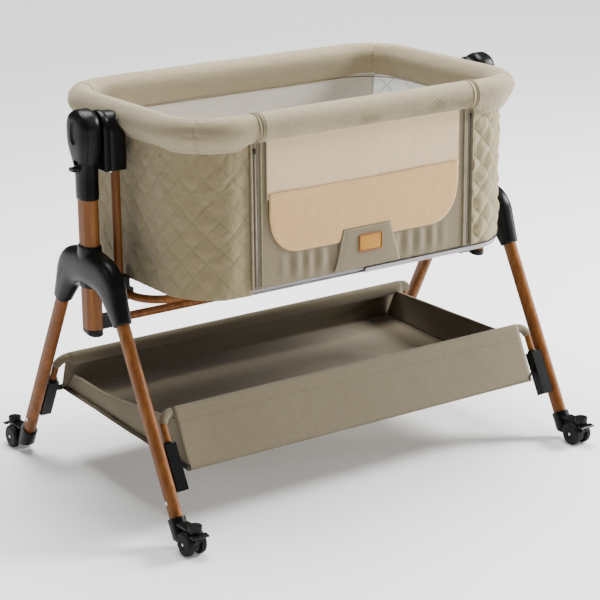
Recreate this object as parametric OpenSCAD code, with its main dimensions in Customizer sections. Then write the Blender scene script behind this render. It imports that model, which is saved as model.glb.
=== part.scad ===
// Bassinet on a wheeled stand.
// Two A-shaped leg frames on castors hold two sliding posts. A padded basket swings between
// the posts, its front side drops down, and a fabric storage tray hangs between the legs.
// X runs along the basket, -Y is the front, Z is up, and the origin is on the floor.

/* [Stand] */
// Distance between the centres of the two posts
post_span = 940; // [920:5:980]
// Lean of each leg from upright, in degrees
leg_lean = 27.8; // [26:0.2:30]
// Distance from the post's centre to each leg where it leaves the hub
leg_exit_y = 118; // [112:1:124]
// Height of that same point
leg_exit_z = 372; // [360:1:380]
// Thickness of a leg tube along X
leg_w = 23; // [21:1:24]
// Width of a leg tube across its lean
leg_d = 29; // [27:1:30]
// Wall of the leg and post tubes
tube_wall = 1.6; // [1.2:0.1:2.5]

/* [Posts] */
// Thickness of a post along X
post_w = 32; // [28:1:34]
// Width of a post along Y
post_d = 46; // [42:1:48]
// Height of the open lower end of a post
post_foot_z = 346; // [340:1:356]
// Height of the swing pivot
pivot_z = 731; // [726:1:736]
// Radius of the round top of a post head
head_r = 37.5; // [36:0.5:39]
// Distance from a post's centre to the inner face of its head
head_in = 20; // [19:0.5:21]
// Distance from a post's centre to the outer face of its head
head_out = 26; // [24:0.5:28]
// Radius of the stretcher tube
stretcher_r = 8; // [6:0.5:9]

/* [Castors] */
// Radius of a castor wheel
wheel_r = 23.5; // [22:0.5:23.5]
// Width of one castor wheel
wheel_w = 12; // [11:0.5:12]
// Distance from the swivel axis to the wheel axle
trail = 12; // [10:0.5:12]

/* [Basket] */
// Half the outer length of the basket wall
basket_a = 388; // [382:1:390]
// Half the outer width of the basket wall
basket_b = 238; // [232:1:242]
// Corner radius of the basket wall
basket_corner = 110; // [100:1:115]
// Thickness of the quilted wall
wall_t = 8; // [6:0.5:10]
// Height of the basket's underside
basket_z = 427; // [425:1:430]
// Height of the mattress top
mattress_top = 480; // [465:1:495]

/* [Rail] */
// Radius of the padded rail sleeve
sleeve_r = 27; // [24:0.5:27]
// Height of the rail's centre line
rail_z = 745; // [740:1:748]
// Radius of the steel tube in the rail
rail_tube_r = 10; // [8:0.5:12]
// Half the length of the front side that drops down
drop_half = 250; // [235:1:255]

/* [Underframe] */
// Radius of the tube loop below the basket
loop_r = 8; // [6:0.5:8]
// Radius of the two thin uprights beside the basket
upright_r = 9; // [7:0.5:9]

/* [Storage tray] */
// Height of the tray's rim rods
tray_rim_z = 222; // [212:1:228]
// Height of the tray's floor along its front edge
tray_front_z = 122; // [114:1:126]
// Height of the tray's floor along its back edge
tray_back_z = 146; // [138:1:150]
// Radius of a rim rod
rod_r = 7; // [6:0.5:7]

/* [Hidden] */

$fn = 48;
eps = 0.1;
slide_gap = 0.4;
shaft_gap = 0.05;

black = "#202224";
wood = "#a96f42";
steel = "#c4c6c8";
quilt_beige = "#bdb79c";
rail_beige = "#b8b293";
tray_brown = "#8a7f6c";
board_grey = "#8d8d8d";
mattress_white = "#eeeeea";
mesh_tan = "#cbb594";
label_tan = "#dcae68";

post_x = post_span / 2;

// Y of a leg's centre line at height z
function leg_y(z) = leg_exit_y + (leg_exit_z - z) * tan(leg_lean);
// distance down a leg from its exit point to height z
function leg_run(z) = (leg_exit_z - z) / cos(leg_lean);

// hub
hub_top_z = 510;
hub_shoulder_z = 503;
hub_arch_z = 428;
hub_t = 30;
hub_lip = 8.6;
arch_start_y = 20;
arch_r = 60;
shoulder_centre = [45, 430];
shoulder_r = 67.5;
collar_w = post_w + 8;
collar_d = post_d + 8;
socket_d = leg_d + 4;
socket_bore_run = 84;
bush_wall = 2;
knob_y = 8;
knob_r = 5;
knob_reach = 8;

// foot and castor
swivel_y = 350;
swing_r = 41.5;
foot_plane_z = 47.8;
foot_sleeve_top_z = 54;
foot_tip_z = 18;
leg_end_z = 38;
foot_wall = 4;
foot_spigot = 40;
arm_t = 4;
arm_half = 12;
stem_r = 5;
stem_top_z = 58;
boss_r = 13;
wheel_gap = 16;
axle_r = 3;
axle_half = wheel_gap / 2 + wheel_w + 0.6;
cheek_t = 14;
castor_top_z = 47.2;
pedal_pin_y = 8;
pedal_pin_z = 38.5;
pedal_pin_r = 1.6;
pedal_hub_r = 3.6;
pedal_web = 7;
pedal_half = 17;
pedal_tip_y = 22;
pedal_top_z = 47;

// head
head_split = 14;
head_collar_z = 598;
head_collar_w = post_w + 6;
head_collar_d = post_d + 6;
cover_foot_z = 671;
post_top_z = 690;
bolt_r = 8;
bolt_reach = 24;
button_w = 20;
button_h = 42;
button_z = 725;
button_depth = 8;
button_travel = 4;
lever_w = 18;
lever_h = 13;
lever_z = 651;
lever_travel = 8;
cap_drop = 12;
stretcher_z = 354.5;
clamp_len = 34;

// basket
wall_top = rail_z - sleeve_r - 2;
floor_t = 4;
board_t = 5;
inner_a = basket_a - wall_t;
inner_b = basket_b - wall_t;
inner_corner = basket_corner - wall_t;
rail_a = basket_a - 2;
rail_b = basket_b - 1;
rail_corner = basket_corner - 12;
joint_gap = 0.5;
panel_t = 6;
panel_foot_z = basket_z + 12;
hinge_z = basket_z + 10;
label_w = 55;
label_h = 34;
label_x = 7;
label_z = 490;

// rail bracket, uprights and base loop
bracket_half = 32;
bracket_foot_z = 650;
bracket_step_z = wall_top - 4;
bracket_in = rail_a + sleeve_r + 1;
bracket_face = post_x - head_in - 1.5;
rail_screw_y = 18;
rail_screw_r = 3;
rail_screw_depth = 8;
upright_x = 410;
upright_foot_z = 400;
upright_top_z = 700;
loop_a = 402;
loop_b = 97;
loop_corner = 65;
loop_z = 405;

// storage tray
rod_y = leg_y(tray_rim_z);
rod_foot_x = post_x - leg_w / 2 - 14;
rod_bend = 22;
rod_drop = 105;
bracket_start = 56;
bracket_end = 146;
rim_r = rod_r + 2.5;
tray_half = rod_foot_x - rod_bend - 2;
tray_front_y = leg_y(tray_front_z) + 2;
tray_back_y = leg_y(tray_back_z) - 6;
tray_cloth = 3;
tray_end_drop = 18;
tray_end_x = tray_half - 12;

// ---------- placing ----------

module on_side(left) {
  if (left) {
    mirror([1, 0, 0]) children();
  } else {
    children();
  }
}

module on_corner(front, left) {
  if (front) {
    mirror([0, 1, 0]) on_side(left) children();
  } else {
    on_side(left) children();
  }
}

// on both ends of the basket
module both_sides() {
  on_side(false) children();
  on_side(true) children();
}

module four_corners() {
  both_sides() children();
  mirror([0, 1, 0]) both_sides() children();
}

// local -Z runs down the back right leg from its exit point
module along_leg() {
  translate([post_x, leg_exit_y, leg_exit_z]) rotate([leg_lean, 0, 0]) children();
}

// local frame on the back rim rod, leaning with the legs
module along_rod() {
  translate([0, rod_y, tray_rim_z]) rotate([leg_lean, 0, 0]) children();
}

// a YZ outline, drawn as [y, z], extruded along X from x0 to x1
module slab_x(x0, x1) {
  translate([x0, 0, 0]) rotate([90, 0, 90]) linear_extrude(x1 - x0) children();
}

// a round bar along X
module bar_x(x0, x1, r, y, z) {
  translate([x0, y, z]) rotate([0, 90, 0]) cylinder(h = x1 - x0, r = r);
}

// ---------- shared outlines ----------

// oval tube outline, w along X and d along Y
module oval(w, d) {
  translate([0, (d - w) / 2]) circle(d = w);
  translate([0, (w - d) / 2]) circle(d = w);
  square([w, d - w], center = true);
}

module oval_ring(w, d, wall) {
  difference() {
    oval(w, d);
    oval(w - 2 * wall, d - 2 * wall);
  }
}

module rounded(a, b, r) {
  square([2 * (a - r), 2 * b], center = true);
  square([2 * a, 2 * (b - r)], center = true);
  for (sx = [-1, 1], sy = [-1, 1]) {
    translate([sx * (a - r), sy * (b - r)]) circle(r = r);
  }
}

module rounded_slab(a, b, r, z0, z1) {
  translate([0, 0, z0]) linear_extrude(z1 - z0) rounded(a, b, r);
}

// quarter bend of a round bar, with a centre line of radius bend_r in the XY plane
module bend(bend_r, r) {
  rotate_extrude(angle = 90) translate([bend_r, 0]) circle(r = r);
}

// round bar along the rounded rectangle, without its front side
module rail_run(r) {
  for (sx = [-1, 1]) {
    translate([sx * rail_a, rail_corner - rail_b, 0])
      rotate([-90, 0, 0]) cylinder(h = 2 * (rail_b - rail_corner), r = r);
  }
  bar_x(rail_corner - rail_a, rail_a - rail_corner, r, rail_b, 0);
  for (k = [0:3]) {
    sx = (k == 0 || k == 3) ? 1 : -1;
    sy = (k < 2) ? 1 : -1;
    translate([sx * (rail_a - rail_corner), sy * (rail_b - rail_corner), 0])
      rotate([0, 0, 90 * k]) bend(rail_corner, r);
  }
  bar_x(drop_half + joint_gap, rail_a - rail_corner, r, -rail_b, 0);
  bar_x(rail_corner - rail_a, -drop_half - joint_gap, r, -rail_b, 0);
}

module loop_run(r) {
  for (s = [-1, 1]) {
    translate([s * loop_a, loop_corner - loop_b, 0])
      rotate([-90, 0, 0]) cylinder(h = 2 * (loop_b - loop_corner), r = r);
    bar_x(loop_corner - loop_a, loop_a - loop_corner, r, s * loop_b, 0);
  }
  for (k = [0:3]) {
    sx = (k == 0 || k == 3) ? 1 : -1;
    sy = (k < 2) ? 1 : -1;
    translate([sx * (loop_a - loop_corner), sy * (loop_b - loop_corner), 0])
      rotate([0, 0, 90 * k]) bend(loop_corner, r);
  }
}

// ---------- stand ----------

// points of an arc, turning from angle a0 to a1
function arc(centre, r, a0, a1) =
  [for (k = [0:8]) centre + r * [cos(a0 + (a1 - a0) * k / 8), sin(a0 + (a1 - a0) * k / 8)]];

// end of the hub's mouth, square to the leg: inner edge for s = -1, outer edge for s = 1
function mouth_edge(s) = [
  leg_exit_y - hub_lip * sin(leg_lean) + s * socket_d / 2 * cos(leg_lean),
  leg_exit_z + hub_lip * cos(leg_lean) + s * socket_d / 2 * sin(leg_lean)
];

// half of the hub's outline, on the +Y side
module hub_half() {
  polygon(concat(
    [[0, hub_arch_z]],
    arc([arch_start_y, hub_arch_z - arch_r], arch_r, 90, 47),
    [mouth_edge(-1), mouth_edge(1)],
    arc(shoulder_centre, shoulder_r, 10, 76),
    [[collar_d / 2, hub_shoulder_z], [0, hub_shoulder_z]]
  ));
}

module hub(left) {
  color(black) on_side(left) difference() {
    union() {
      slab_x(post_x - hub_t / 2, post_x + hub_t / 2) {
        hub_half();
        mirror([1, 0]) hub_half();
      }
      translate([post_x, 0, hub_arch_z]) linear_extrude(hub_top_z - hub_arch_z)
        oval(collar_w, collar_d);
      bar_x(post_x - collar_w / 2 - knob_reach, post_x, knob_r, knob_y, hub_top_z - 12);
    }
    translate([post_x, 0, hub_arch_z - arch_r]) linear_extrude(hub_top_z - hub_arch_z + arch_r + 1)
      oval(post_w + 2 * (slide_gap + bush_wall), post_d + 2 * (slide_gap + bush_wall));
    for (front = [0, 1]) {
      mirror([0, front, 0]) along_leg() translate([0, 0, -40])
        linear_extrude(socket_bore_run + 40) oval(leg_w, leg_d);
    }
  }
}

module leg(front, left) {
  color(wood) on_corner(front, left) along_leg()
    translate([0, 0, -leg_run(leg_end_z)])
      linear_extrude(leg_run(leg_end_z) + socket_bore_run) oval_ring(leg_w, leg_d, tube_wall);
}

// sleeve on the leg's end, hollowed for the castor's swing, and an arm out to the stem boss
module foot(front, left) {
  arm_y = leg_y(foot_plane_z) + leg_d / 2 / cos(leg_lean) + 1;
  color(black) on_corner(front, left) {
    difference() {
      union() {
        along_leg() translate([0, 0, -leg_run(foot_tip_z) - foot_spigot])
          linear_extrude(foot_spigot + leg_run(foot_tip_z) - leg_run(foot_sleeve_top_z))
            oval(leg_w + 2 * foot_wall, leg_d + 2 * foot_wall);
        translate([post_x - arm_half, arm_y, foot_plane_z])
          cube([2 * arm_half, swivel_y - arm_y, arm_t]);
        translate([post_x, swivel_y, foot_plane_z])
          cylinder(h = stem_top_z - foot_plane_z + 3, r = boss_r);
      }
      along_leg() translate([0, 0, -leg_run(leg_end_z)]) linear_extrude(80) oval(leg_w, leg_d);
      translate([post_x - 60, 0, -60]) cube([120, 500, 60 + foot_tip_z]);
      translate([post_x, swivel_y, 0]) cylinder(h = foot_plane_z, r = swing_r);
      translate([post_x, swivel_y, foot_plane_z - eps])
        cylinder(h = stem_top_z - foot_plane_z + 2 * eps, r = stem_r + shaft_gap);
    }
    along_leg() translate([0, 0, -leg_run(leg_end_z) - 1])
      linear_extrude(foot_spigot) oval(leg_w - 2 * tube_wall, leg_d - 2 * tube_wall);
  }
}

// plastic bushes that guide the posts in the hubs
module post_bushes() {
  color(board_grey) both_sides() translate([post_x, 0, hub_arch_z + 1])
    linear_extrude(hub_top_z - hub_arch_z - 2)
      oval_ring(post_w + 2 * (slide_gap + bush_wall), post_d + 2 * (slide_gap + bush_wall),
                bush_wall);
}

// screw heads on the outer face of each leg above its foot
module leg_screws() {
  color(steel) four_corners() along_leg()
    translate([leg_w / 2, 0, -leg_run(foot_sleeve_top_z + 26)])
      rotate([0, 90, 0]) cylinder(h = 1.4, r = 4);
}

// a rim rod turns down at both ends and runs beside the legs into its brackets
module storage_rod() {
  along_rod() {
    bar_x(-rod_foot_x + rod_bend, rod_foot_x - rod_bend, rod_r, 0, 0);
    both_sides() {
      translate([rod_foot_x - rod_bend, 0, -rod_bend]) rotate([90, 0, 0]) bend(rod_bend, rod_r);
      translate([rod_foot_x, 0, -rod_drop]) cylinder(h = rod_drop - rod_bend, r = rod_r);
    }
  }
}

module storage_rods() {
  color(wood) {
    storage_rod();
    mirror([0, 1, 0]) storage_rod();
  }
}

module storage_brackets() {
  block_x = rod_foot_x - rod_r - 3;
  color(black) four_corners() along_rod() difference() {
    union() {
      translate([block_x, -leg_d / 2 + 3, -bracket_end])
        cube([post_x - leg_w / 2 - block_x, leg_d - 6, bracket_end - bracket_start]);
      translate([rod_foot_x, 0, -bracket_end])
        cylinder(h = bracket_end - bracket_start + 4, r = rod_r + 3);
    }
    translate([rod_foot_x, 0, -rod_drop]) cylinder(h = rod_drop, r = rod_r);
  }
}

// open fabric tray: rim loops round the rods, leaning sides, a sloping floor and two lower ends
module storage_tray() {
  top_y = rod_y + rod_r + 0.8;
  end_z = tray_rim_z - tray_end_drop;
  end_y = rod_y + 4;
  color(tray_brown) difference() {
    union() {
      slab_x(-tray_half, tray_half) polygon([
        [-tray_front_y, tray_front_z], [tray_back_y, tray_back_z], [top_y + 1.7, tray_rim_z],
        [top_y - 1.3, tray_rim_z], [tray_back_y - tray_cloth, tray_back_z + tray_cloth],
        [tray_cloth - tray_front_y, tray_front_z + tray_cloth], [1.3 - top_y, tray_rim_z],
        [-top_y - 1.7, tray_rim_z]
      ]);
      for (s = [-1, 1]) {
        bar_x(-tray_half, tray_half, rim_r, s * rod_y, tray_rim_z);
        slab_x(s * tray_end_x - tray_cloth / 2, s * tray_end_x + tray_cloth / 2) polygon([
          [-tray_front_y + 1, tray_front_z + 1], [tray_back_y - 1, tray_back_z + 1],
          [end_y, end_z], [-end_y, end_z]
        ]);
      }
    }
    for (s = [-1, 1]) {
      bar_x(-tray_half - 1, tray_half + 1, rod_r + 0.3, s * rod_y, tray_rim_z);
    }
  }
}

// ---------- posts and heads ----------

module post(left) {
  color(wood) on_side(left) translate([post_x, 0, post_foot_z])
    linear_extrude(post_top_z - post_foot_z) oval_ring(post_w, post_d, tube_wall);
}

// teardrop slab of the head from x0 to x1
module head_slab(x0, x1, r) {
  bar_x(x0, x1, r, 0, pivot_z);
  slab_x(x0, x1) polygon([
    [-r * 0.985, pivot_z - 6], [r * 0.985, pivot_z - 6], [r - 3, pivot_z - 30],
    [head_collar_d / 2, 668], [head_collar_d / 2, 640], [-head_collar_d / 2, 640],
    [-head_collar_d / 2, 668], [3 - r, pivot_z - 30]
  ]);
}

module post_cavity() {
  translate([post_x, 0, head_collar_z - 1]) linear_extrude(post_top_z - head_collar_z + 1)
    oval(post_w, post_d);
}

module lever_slot() {
  translate([post_x + post_w / 2 - 2, -lever_w / 2 - slide_gap, lever_z - 1])
    cube([20, lever_w + 2 * slide_gap, lever_h + lever_travel + 3]);
}

module head(left) {
  color(black) on_side(left) difference() {
    union() {
      head_slab(post_x - head_in, post_x + head_split, head_r);
      translate([post_x, 0, head_collar_z]) linear_extrude(72)
        oval(head_collar_w, head_collar_d);
    }
    post_cavity();
    lever_slot();
    bar_x(post_x - head_in - 1, post_x - head_in + bolt_reach + 1, bolt_r + shaft_gap,
          0, pivot_z);
  }
}

module oval_button(grow) {
  w = button_w + grow;
  h = button_h + grow;
  translate([0, button_z]) oval(w, h);
}

module head_cover(left) {
  color(black) on_side(left) difference() {
    head_slab(post_x + head_split, post_x + head_out, head_r - 1.5);
    translate([post_x, -60, cover_foot_z - 60]) cube([60, 120, 60]);
    slab_x(post_x + head_out - button_depth, post_x + head_out + 1)
      oval_button(2 * slide_gap);
    post_cavity();
    lever_slot();
  }
}

module height_lever(left) {
  inner = post_x + post_w / 2 + 0.6;
  color(black) on_side(left) {
    translate([inner, -lever_w / 2, lever_z]) cube([3.2, lever_w, lever_h]);
    translate([inner + 3, -lever_w / 2, lever_z + 3]) cube([13, lever_w, 7]);
  }
}

module swing_button(left) {
  color(black) on_side(left)
    slab_x(post_x + head_out - button_depth + button_travel + slide_gap, post_x + head_out)
      oval_button(0);
}

// wedge plug in each post's open lower end
module post_caps() {
  color(black) both_sides() {
    translate([post_x, 0, post_foot_z - 0.2]) linear_extrude(24.2)
      oval(post_w - 2 * tube_wall, post_d - 2 * tube_wall);
    intersection() {
      translate([post_x, 0, post_foot_z - cap_drop - 4]) linear_extrude(cap_drop + 4)
        oval(post_w, post_d);
      slab_x(post_x - post_w, post_x + post_w) polygon([
        [-post_d / 2 - 1, post_foot_z - cap_drop - 2], [post_d / 2 + 1, post_foot_z - 3],
        [post_d / 2 + 1, post_foot_z], [-post_d / 2 - 1, post_foot_z]
      ]);
    }
  }
}

module stretcher() {
  reach = post_x - post_w / 2 - 6;
  color(wood) difference() {
    bar_x(-reach, reach, stretcher_r, 0, stretcher_z);
    bar_x(-reach - 1, reach + 1, stretcher_r - tube_wall, 0, stretcher_z);
  }
}

module stretcher_clamps() {
  outer = post_x - post_w / 2;
  color(black) both_sides() difference() {
    translate([outer - clamp_len, -12, stretcher_z - 12]) cube([clamp_len, 24, 24]);
    bar_x(outer - clamp_len - 1, outer - 6, stretcher_r, 0, stretcher_z);
  }
}

// ---------- basket frame ----------

// outline of the bracket beside the head, rounded about the pivot
module bracket_top() {
  translate([-bracket_half, bracket_step_z - 5])
    square([2 * bracket_half, pivot_z - bracket_step_z + 5]);
  translate([0, pivot_z]) circle(r = bracket_half);
}

// the two screws that hold a bracket to the rail tube
module rail_screw_pair() {
  for (s = [-1, 1]) {
    bar_x(rail_a + rail_tube_r - 2, bracket_in + rail_screw_depth, rail_screw_r,
          s * rail_screw_y, rail_z);
  }
}

// the two screws up into a bracket's lower face
module foot_screw_pair() {
  for (s = [-1, 1]) {
    translate([upright_x + 22, s * (bracket_half - 9), bracket_foot_z - 2])
      cylinder(h = 8, r = 4);
  }
}

module rail_bracket(left) {
  color(black) on_side(left) difference() {
    union() {
      translate([upright_x - 12, -bracket_half, bracket_foot_z])
        cube([bracket_face - upright_x + 12, 2 * bracket_half, bracket_step_z - bracket_foot_z]);
      slab_x(bracket_in, bracket_face) bracket_top();
    }
    translate([upright_x, 0, bracket_foot_z - 1])
      cylinder(h = upright_top_z - bracket_foot_z + 1, r = upright_r);
    bar_x(bracket_in - 1, bracket_face + 1, bolt_r, 0, pivot_z);
    rail_screw_pair();
    foot_screw_pair();
  }
}

module pivot_bolts() {
  color(steel) both_sides()
    bar_x(bracket_in, post_x - head_in + bolt_reach, bolt_r, 0, pivot_z);
}

// screws through the brackets into the rail tube, and up into the brackets' lower faces
module bracket_screws() {
  color(steel) both_sides() {
    rail_screw_pair();
    foot_screw_pair();
  }
}

module rail_tube() {
  color(steel) difference() {
    translate([0, 0, rail_z]) rail_run(rail_tube_r);
    both_sides() rail_screw_pair();
  }
}

module rail_sleeve() {
  color(rail_beige) difference() {
    translate([0, 0, rail_z]) rail_run(sleeve_r);
    translate([0, 0, rail_z]) rail_run(rail_tube_r);
    both_sides() rail_screw_pair();
    translate([-drop_half - joint_gap, -rail_b - 40, rail_z - 40])
      cube([2 * (drop_half + joint_gap), 80, 80]);
  }
}

module end_uprights() {
  color(wood) both_sides() translate([upright_x, 0, upright_foot_z + 2]) difference() {
    cylinder(h = upright_top_z - upright_foot_z - 2, r = upright_r);
    translate([0, 0, -1]) cylinder(h = upright_top_z - upright_foot_z, r = upright_r - tube_wall);
  }
}

// blocks that join each upright's foot to the base loop
module upright_clamps() {
  color(black) both_sides() difference() {
    translate([loop_a - 14, -18, loop_z - 12]) union() {
      cube([34, 36, 22]);
      translate([8, 0, 20]) cube([26, 36, 26]);
    }
    translate([upright_x, 0, upright_foot_z + 2]) cylinder(h = 60, r = upright_r);
    translate([loop_a, -30, loop_z]) rotate([-90, 0, 0]) cylinder(h = 60, r = loop_r);
  }
}

module base_loop() {
  color(wood) translate([0, 0, loop_z]) difference() {
    loop_run(loop_r);
    translate([0, 0, upright_foot_z + 2 - loop_z]) both_sides()
      translate([upright_x, 0, 0]) cylinder(h = 20, r = upright_r);
  }
}

// ---------- basket ----------

module drop_window(z0) {
  translate([-drop_half, -basket_b - 20, z0]) cube([2 * drop_half, 60, 400]);
}

module basket_shell() {
  color(quilt_beige) difference() {
    rounded_slab(basket_a, basket_b, basket_corner, basket_z, wall_top);
    rounded_slab(inner_a, inner_b, inner_corner, basket_z + floor_t, wall_top + 1);
    drop_window(hinge_z);
  }
}

module base_board() {
  color(board_grey) rounded_slab(inner_a - 1, inner_b - 1, inner_corner - 1,
    basket_z + floor_t, basket_z + floor_t + board_t);
}

module mattress() {
  color(mattress_white) rounded_slab(inner_a - 4, inner_b - 4, inner_corner - 4,
    basket_z + floor_t + board_t, mattress_top);
}

// ---------- front side ----------

module drop_rail_tube() {
  half = drop_half - joint_gap;
  color(steel) bar_x(-half, half, rail_tube_r, -rail_b, rail_z);
}

module drop_rail_sleeve() {
  half = drop_half - joint_gap;
  color(rail_beige) difference() {
    bar_x(-half, half, sleeve_r, -rail_b, rail_z);
    bar_x(-half - 1, half + 1, rail_tube_r, -rail_b, rail_z);
  }
}

module drop_panel() {
  half = drop_half - 2 * joint_gap;
  color(mesh_tan) translate([-half, -basket_b, panel_foot_z])
    cube([2 * half, panel_t, wall_top - panel_foot_z + 1]);
}

module label_patch() {
  color(label_tan) translate([label_x - label_w / 2, -basket_b - 1.4, label_z - label_h / 2])
    cube([label_w, 1.4, label_h]);
}

// ---------- castors ----------

module at_castor(front, left) {
  on_corner(front, left) translate([post_x, swivel_y, 0]) children();
}

// [y, z] outline of the castor's body between the wheels
module castor_web() {
  translate([-trail, wheel_r]) circle(r = wheel_r - 5);
  polygon([
    [-trail - 16, 32], [-trail - 12, 43], [-boss_r, castor_top_z], [pedal_pin_y - 2, castor_top_z],
    [pedal_pin_y - 0.5, 42.2], [pedal_pin_y + 4.5, 41], [pedal_pin_y + 5, 36], [4, 20]
  ]);
}

module castor(front, left) {
  color(black) at_castor(front, left) {
    difference() {
      slab_x(-cheek_t / 2, cheek_t / 2) castor_web();
      bar_x(-cheek_t, cheek_t, axle_r, -trail, wheel_r);
      bar_x(-cheek_t, cheek_t, pedal_pin_r + shaft_gap, pedal_pin_y, pedal_pin_z);
      slab_x(-pedal_web / 2 - slide_gap, pedal_web / 2 + slide_gap)
        translate([pedal_pin_y - pedal_hub_r - slide_gap, pedal_pin_z - pedal_hub_r - slide_gap])
          square([40, 40]);
    }
    translate([0, 0, castor_top_z - 2]) cylinder(h = stem_top_z - castor_top_z + 1.5, r = stem_r);
  }
}

module wheels(front, left) {
  color(black) at_castor(front, left) for (s = [0, 1]) {
    mirror([s, 0, 0]) translate([wheel_gap / 2, -trail, wheel_r]) rotate([0, 90, 0])
      rotate_extrude() polygon([
        [axle_r + shaft_gap, 0], [wheel_r - 1.5, 0], [wheel_r, 1.5], [wheel_r, wheel_w - 4],
        [wheel_r - 1.2, wheel_w - 1.6], [wheel_r - 4, wheel_w], [9, wheel_w],
        [7, wheel_w - 1], [axle_r + shaft_gap, wheel_w - 1]
      ]);
  }
}

module axle(front, left) {
  color(steel) at_castor(front, left) bar_x(-axle_half, axle_half, axle_r, -trail, wheel_r);
}

// brake pedal: a pin in the castor's cheeks, a web and a wide pad
module pedal(front, left) {
  pad_y = pedal_pin_y + 0.5;
  color(black) at_castor(front, left) {
    bar_x(-cheek_t / 2, cheek_t / 2, pedal_pin_r, pedal_pin_y, pedal_pin_z);
    slab_x(-pedal_web / 2, pedal_web / 2) {
      translate([pedal_pin_y, pedal_pin_z]) circle(r = pedal_hub_r);
      polygon([
        [pedal_pin_y - 2, pedal_pin_z + 2], [pedal_pin_y + 3, pedal_pin_z],
        [pad_y + 8, pedal_top_z - 3], [pad_y, pedal_top_z - 1]
      ]);
    }
    slab_x(-pedal_half, pedal_half) polygon([
      [pad_y, pedal_top_z - 3.5], [pedal_tip_y - 1, pedal_top_z - 5], [pedal_tip_y, pedal_top_z - 3],
      [pedal_tip_y - 2, pedal_top_z - 1], [pad_y + 1, pedal_top_z]
    ]);
  }
}

hub(true);  // hub_left
hub(false);  // hub_right
leg(true, true);  // leg_front_left
leg(true, false);  // leg_front_right
leg(false, true);  // leg_back_left
leg(false, false);  // leg_back_right
foot(true, true);  // foot_front_left
foot(true, false);  // foot_front_right
foot(false, true);  // foot_back_left
foot(false, false);  // foot_back_right
post_bushes();
leg_screws();
storage_rods();
storage_brackets();
storage_tray();
post(true);  // post_left
post(false);  // post_right
head(true);  // head_left
head(false);  // head_right
head_cover(true);  // head_cover_left
head_cover(false);  // head_cover_right
post_caps();
stretcher();
stretcher_clamps();
height_lever(true);  // height_lever_left
height_lever(false);  // height_lever_right
swing_button(true);  // swing_button_left
swing_button(false);  // swing_button_right
rail_bracket(true);  // rail_bracket_left
rail_bracket(false);  // rail_bracket_right
pivot_bolts();
bracket_screws();
rail_tube();
rail_sleeve();
end_uprights();
upright_clamps();
base_loop();
basket_shell();
base_board();
mattress();
drop_rail_tube();
drop_rail_sleeve();
drop_panel();
label_patch();
castor(true, true);  // castor_front_left
castor(true, false);  // castor_front_right
castor(false, true);  // castor_back_left
castor(false, false);  // castor_back_right
wheels(true, true);  // wheels_front_left
wheels(true, false);  // wheels_front_right
wheels(false, true);  // wheels_back_left
wheels(false, false);  // wheels_back_right
axle(true, true);  // axle_front_left
axle(true, false);  // axle_front_right
axle(false, true);  // axle_back_left
axle(false, false);  // axle_back_right
pedal(true, true);  // pedal_front_left
pedal(true, false);  // pedal_front_right
pedal(false, true);  // pedal_back_left
pedal(false, false);  // pedal_back_right
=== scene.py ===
"""Looks for the bassinet on its wheeled stand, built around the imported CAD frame."""
import math

import bmesh
import bpy
from mathutils import Matrix, Vector, noise


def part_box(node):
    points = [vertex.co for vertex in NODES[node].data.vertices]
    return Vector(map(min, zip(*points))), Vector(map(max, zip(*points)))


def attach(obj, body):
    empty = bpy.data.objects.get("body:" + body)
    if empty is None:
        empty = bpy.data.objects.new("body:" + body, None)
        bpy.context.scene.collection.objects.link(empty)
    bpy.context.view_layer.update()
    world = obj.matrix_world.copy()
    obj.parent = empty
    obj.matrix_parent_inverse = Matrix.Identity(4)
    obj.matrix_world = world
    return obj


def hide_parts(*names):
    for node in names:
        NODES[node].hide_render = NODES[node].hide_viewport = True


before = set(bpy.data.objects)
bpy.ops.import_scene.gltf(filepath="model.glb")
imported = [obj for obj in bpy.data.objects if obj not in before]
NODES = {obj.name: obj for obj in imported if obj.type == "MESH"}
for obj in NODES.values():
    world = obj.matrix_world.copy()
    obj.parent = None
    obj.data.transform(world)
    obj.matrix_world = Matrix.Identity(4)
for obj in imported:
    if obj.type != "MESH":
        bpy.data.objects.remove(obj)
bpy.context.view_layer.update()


# ---------- materials ----------

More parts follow.
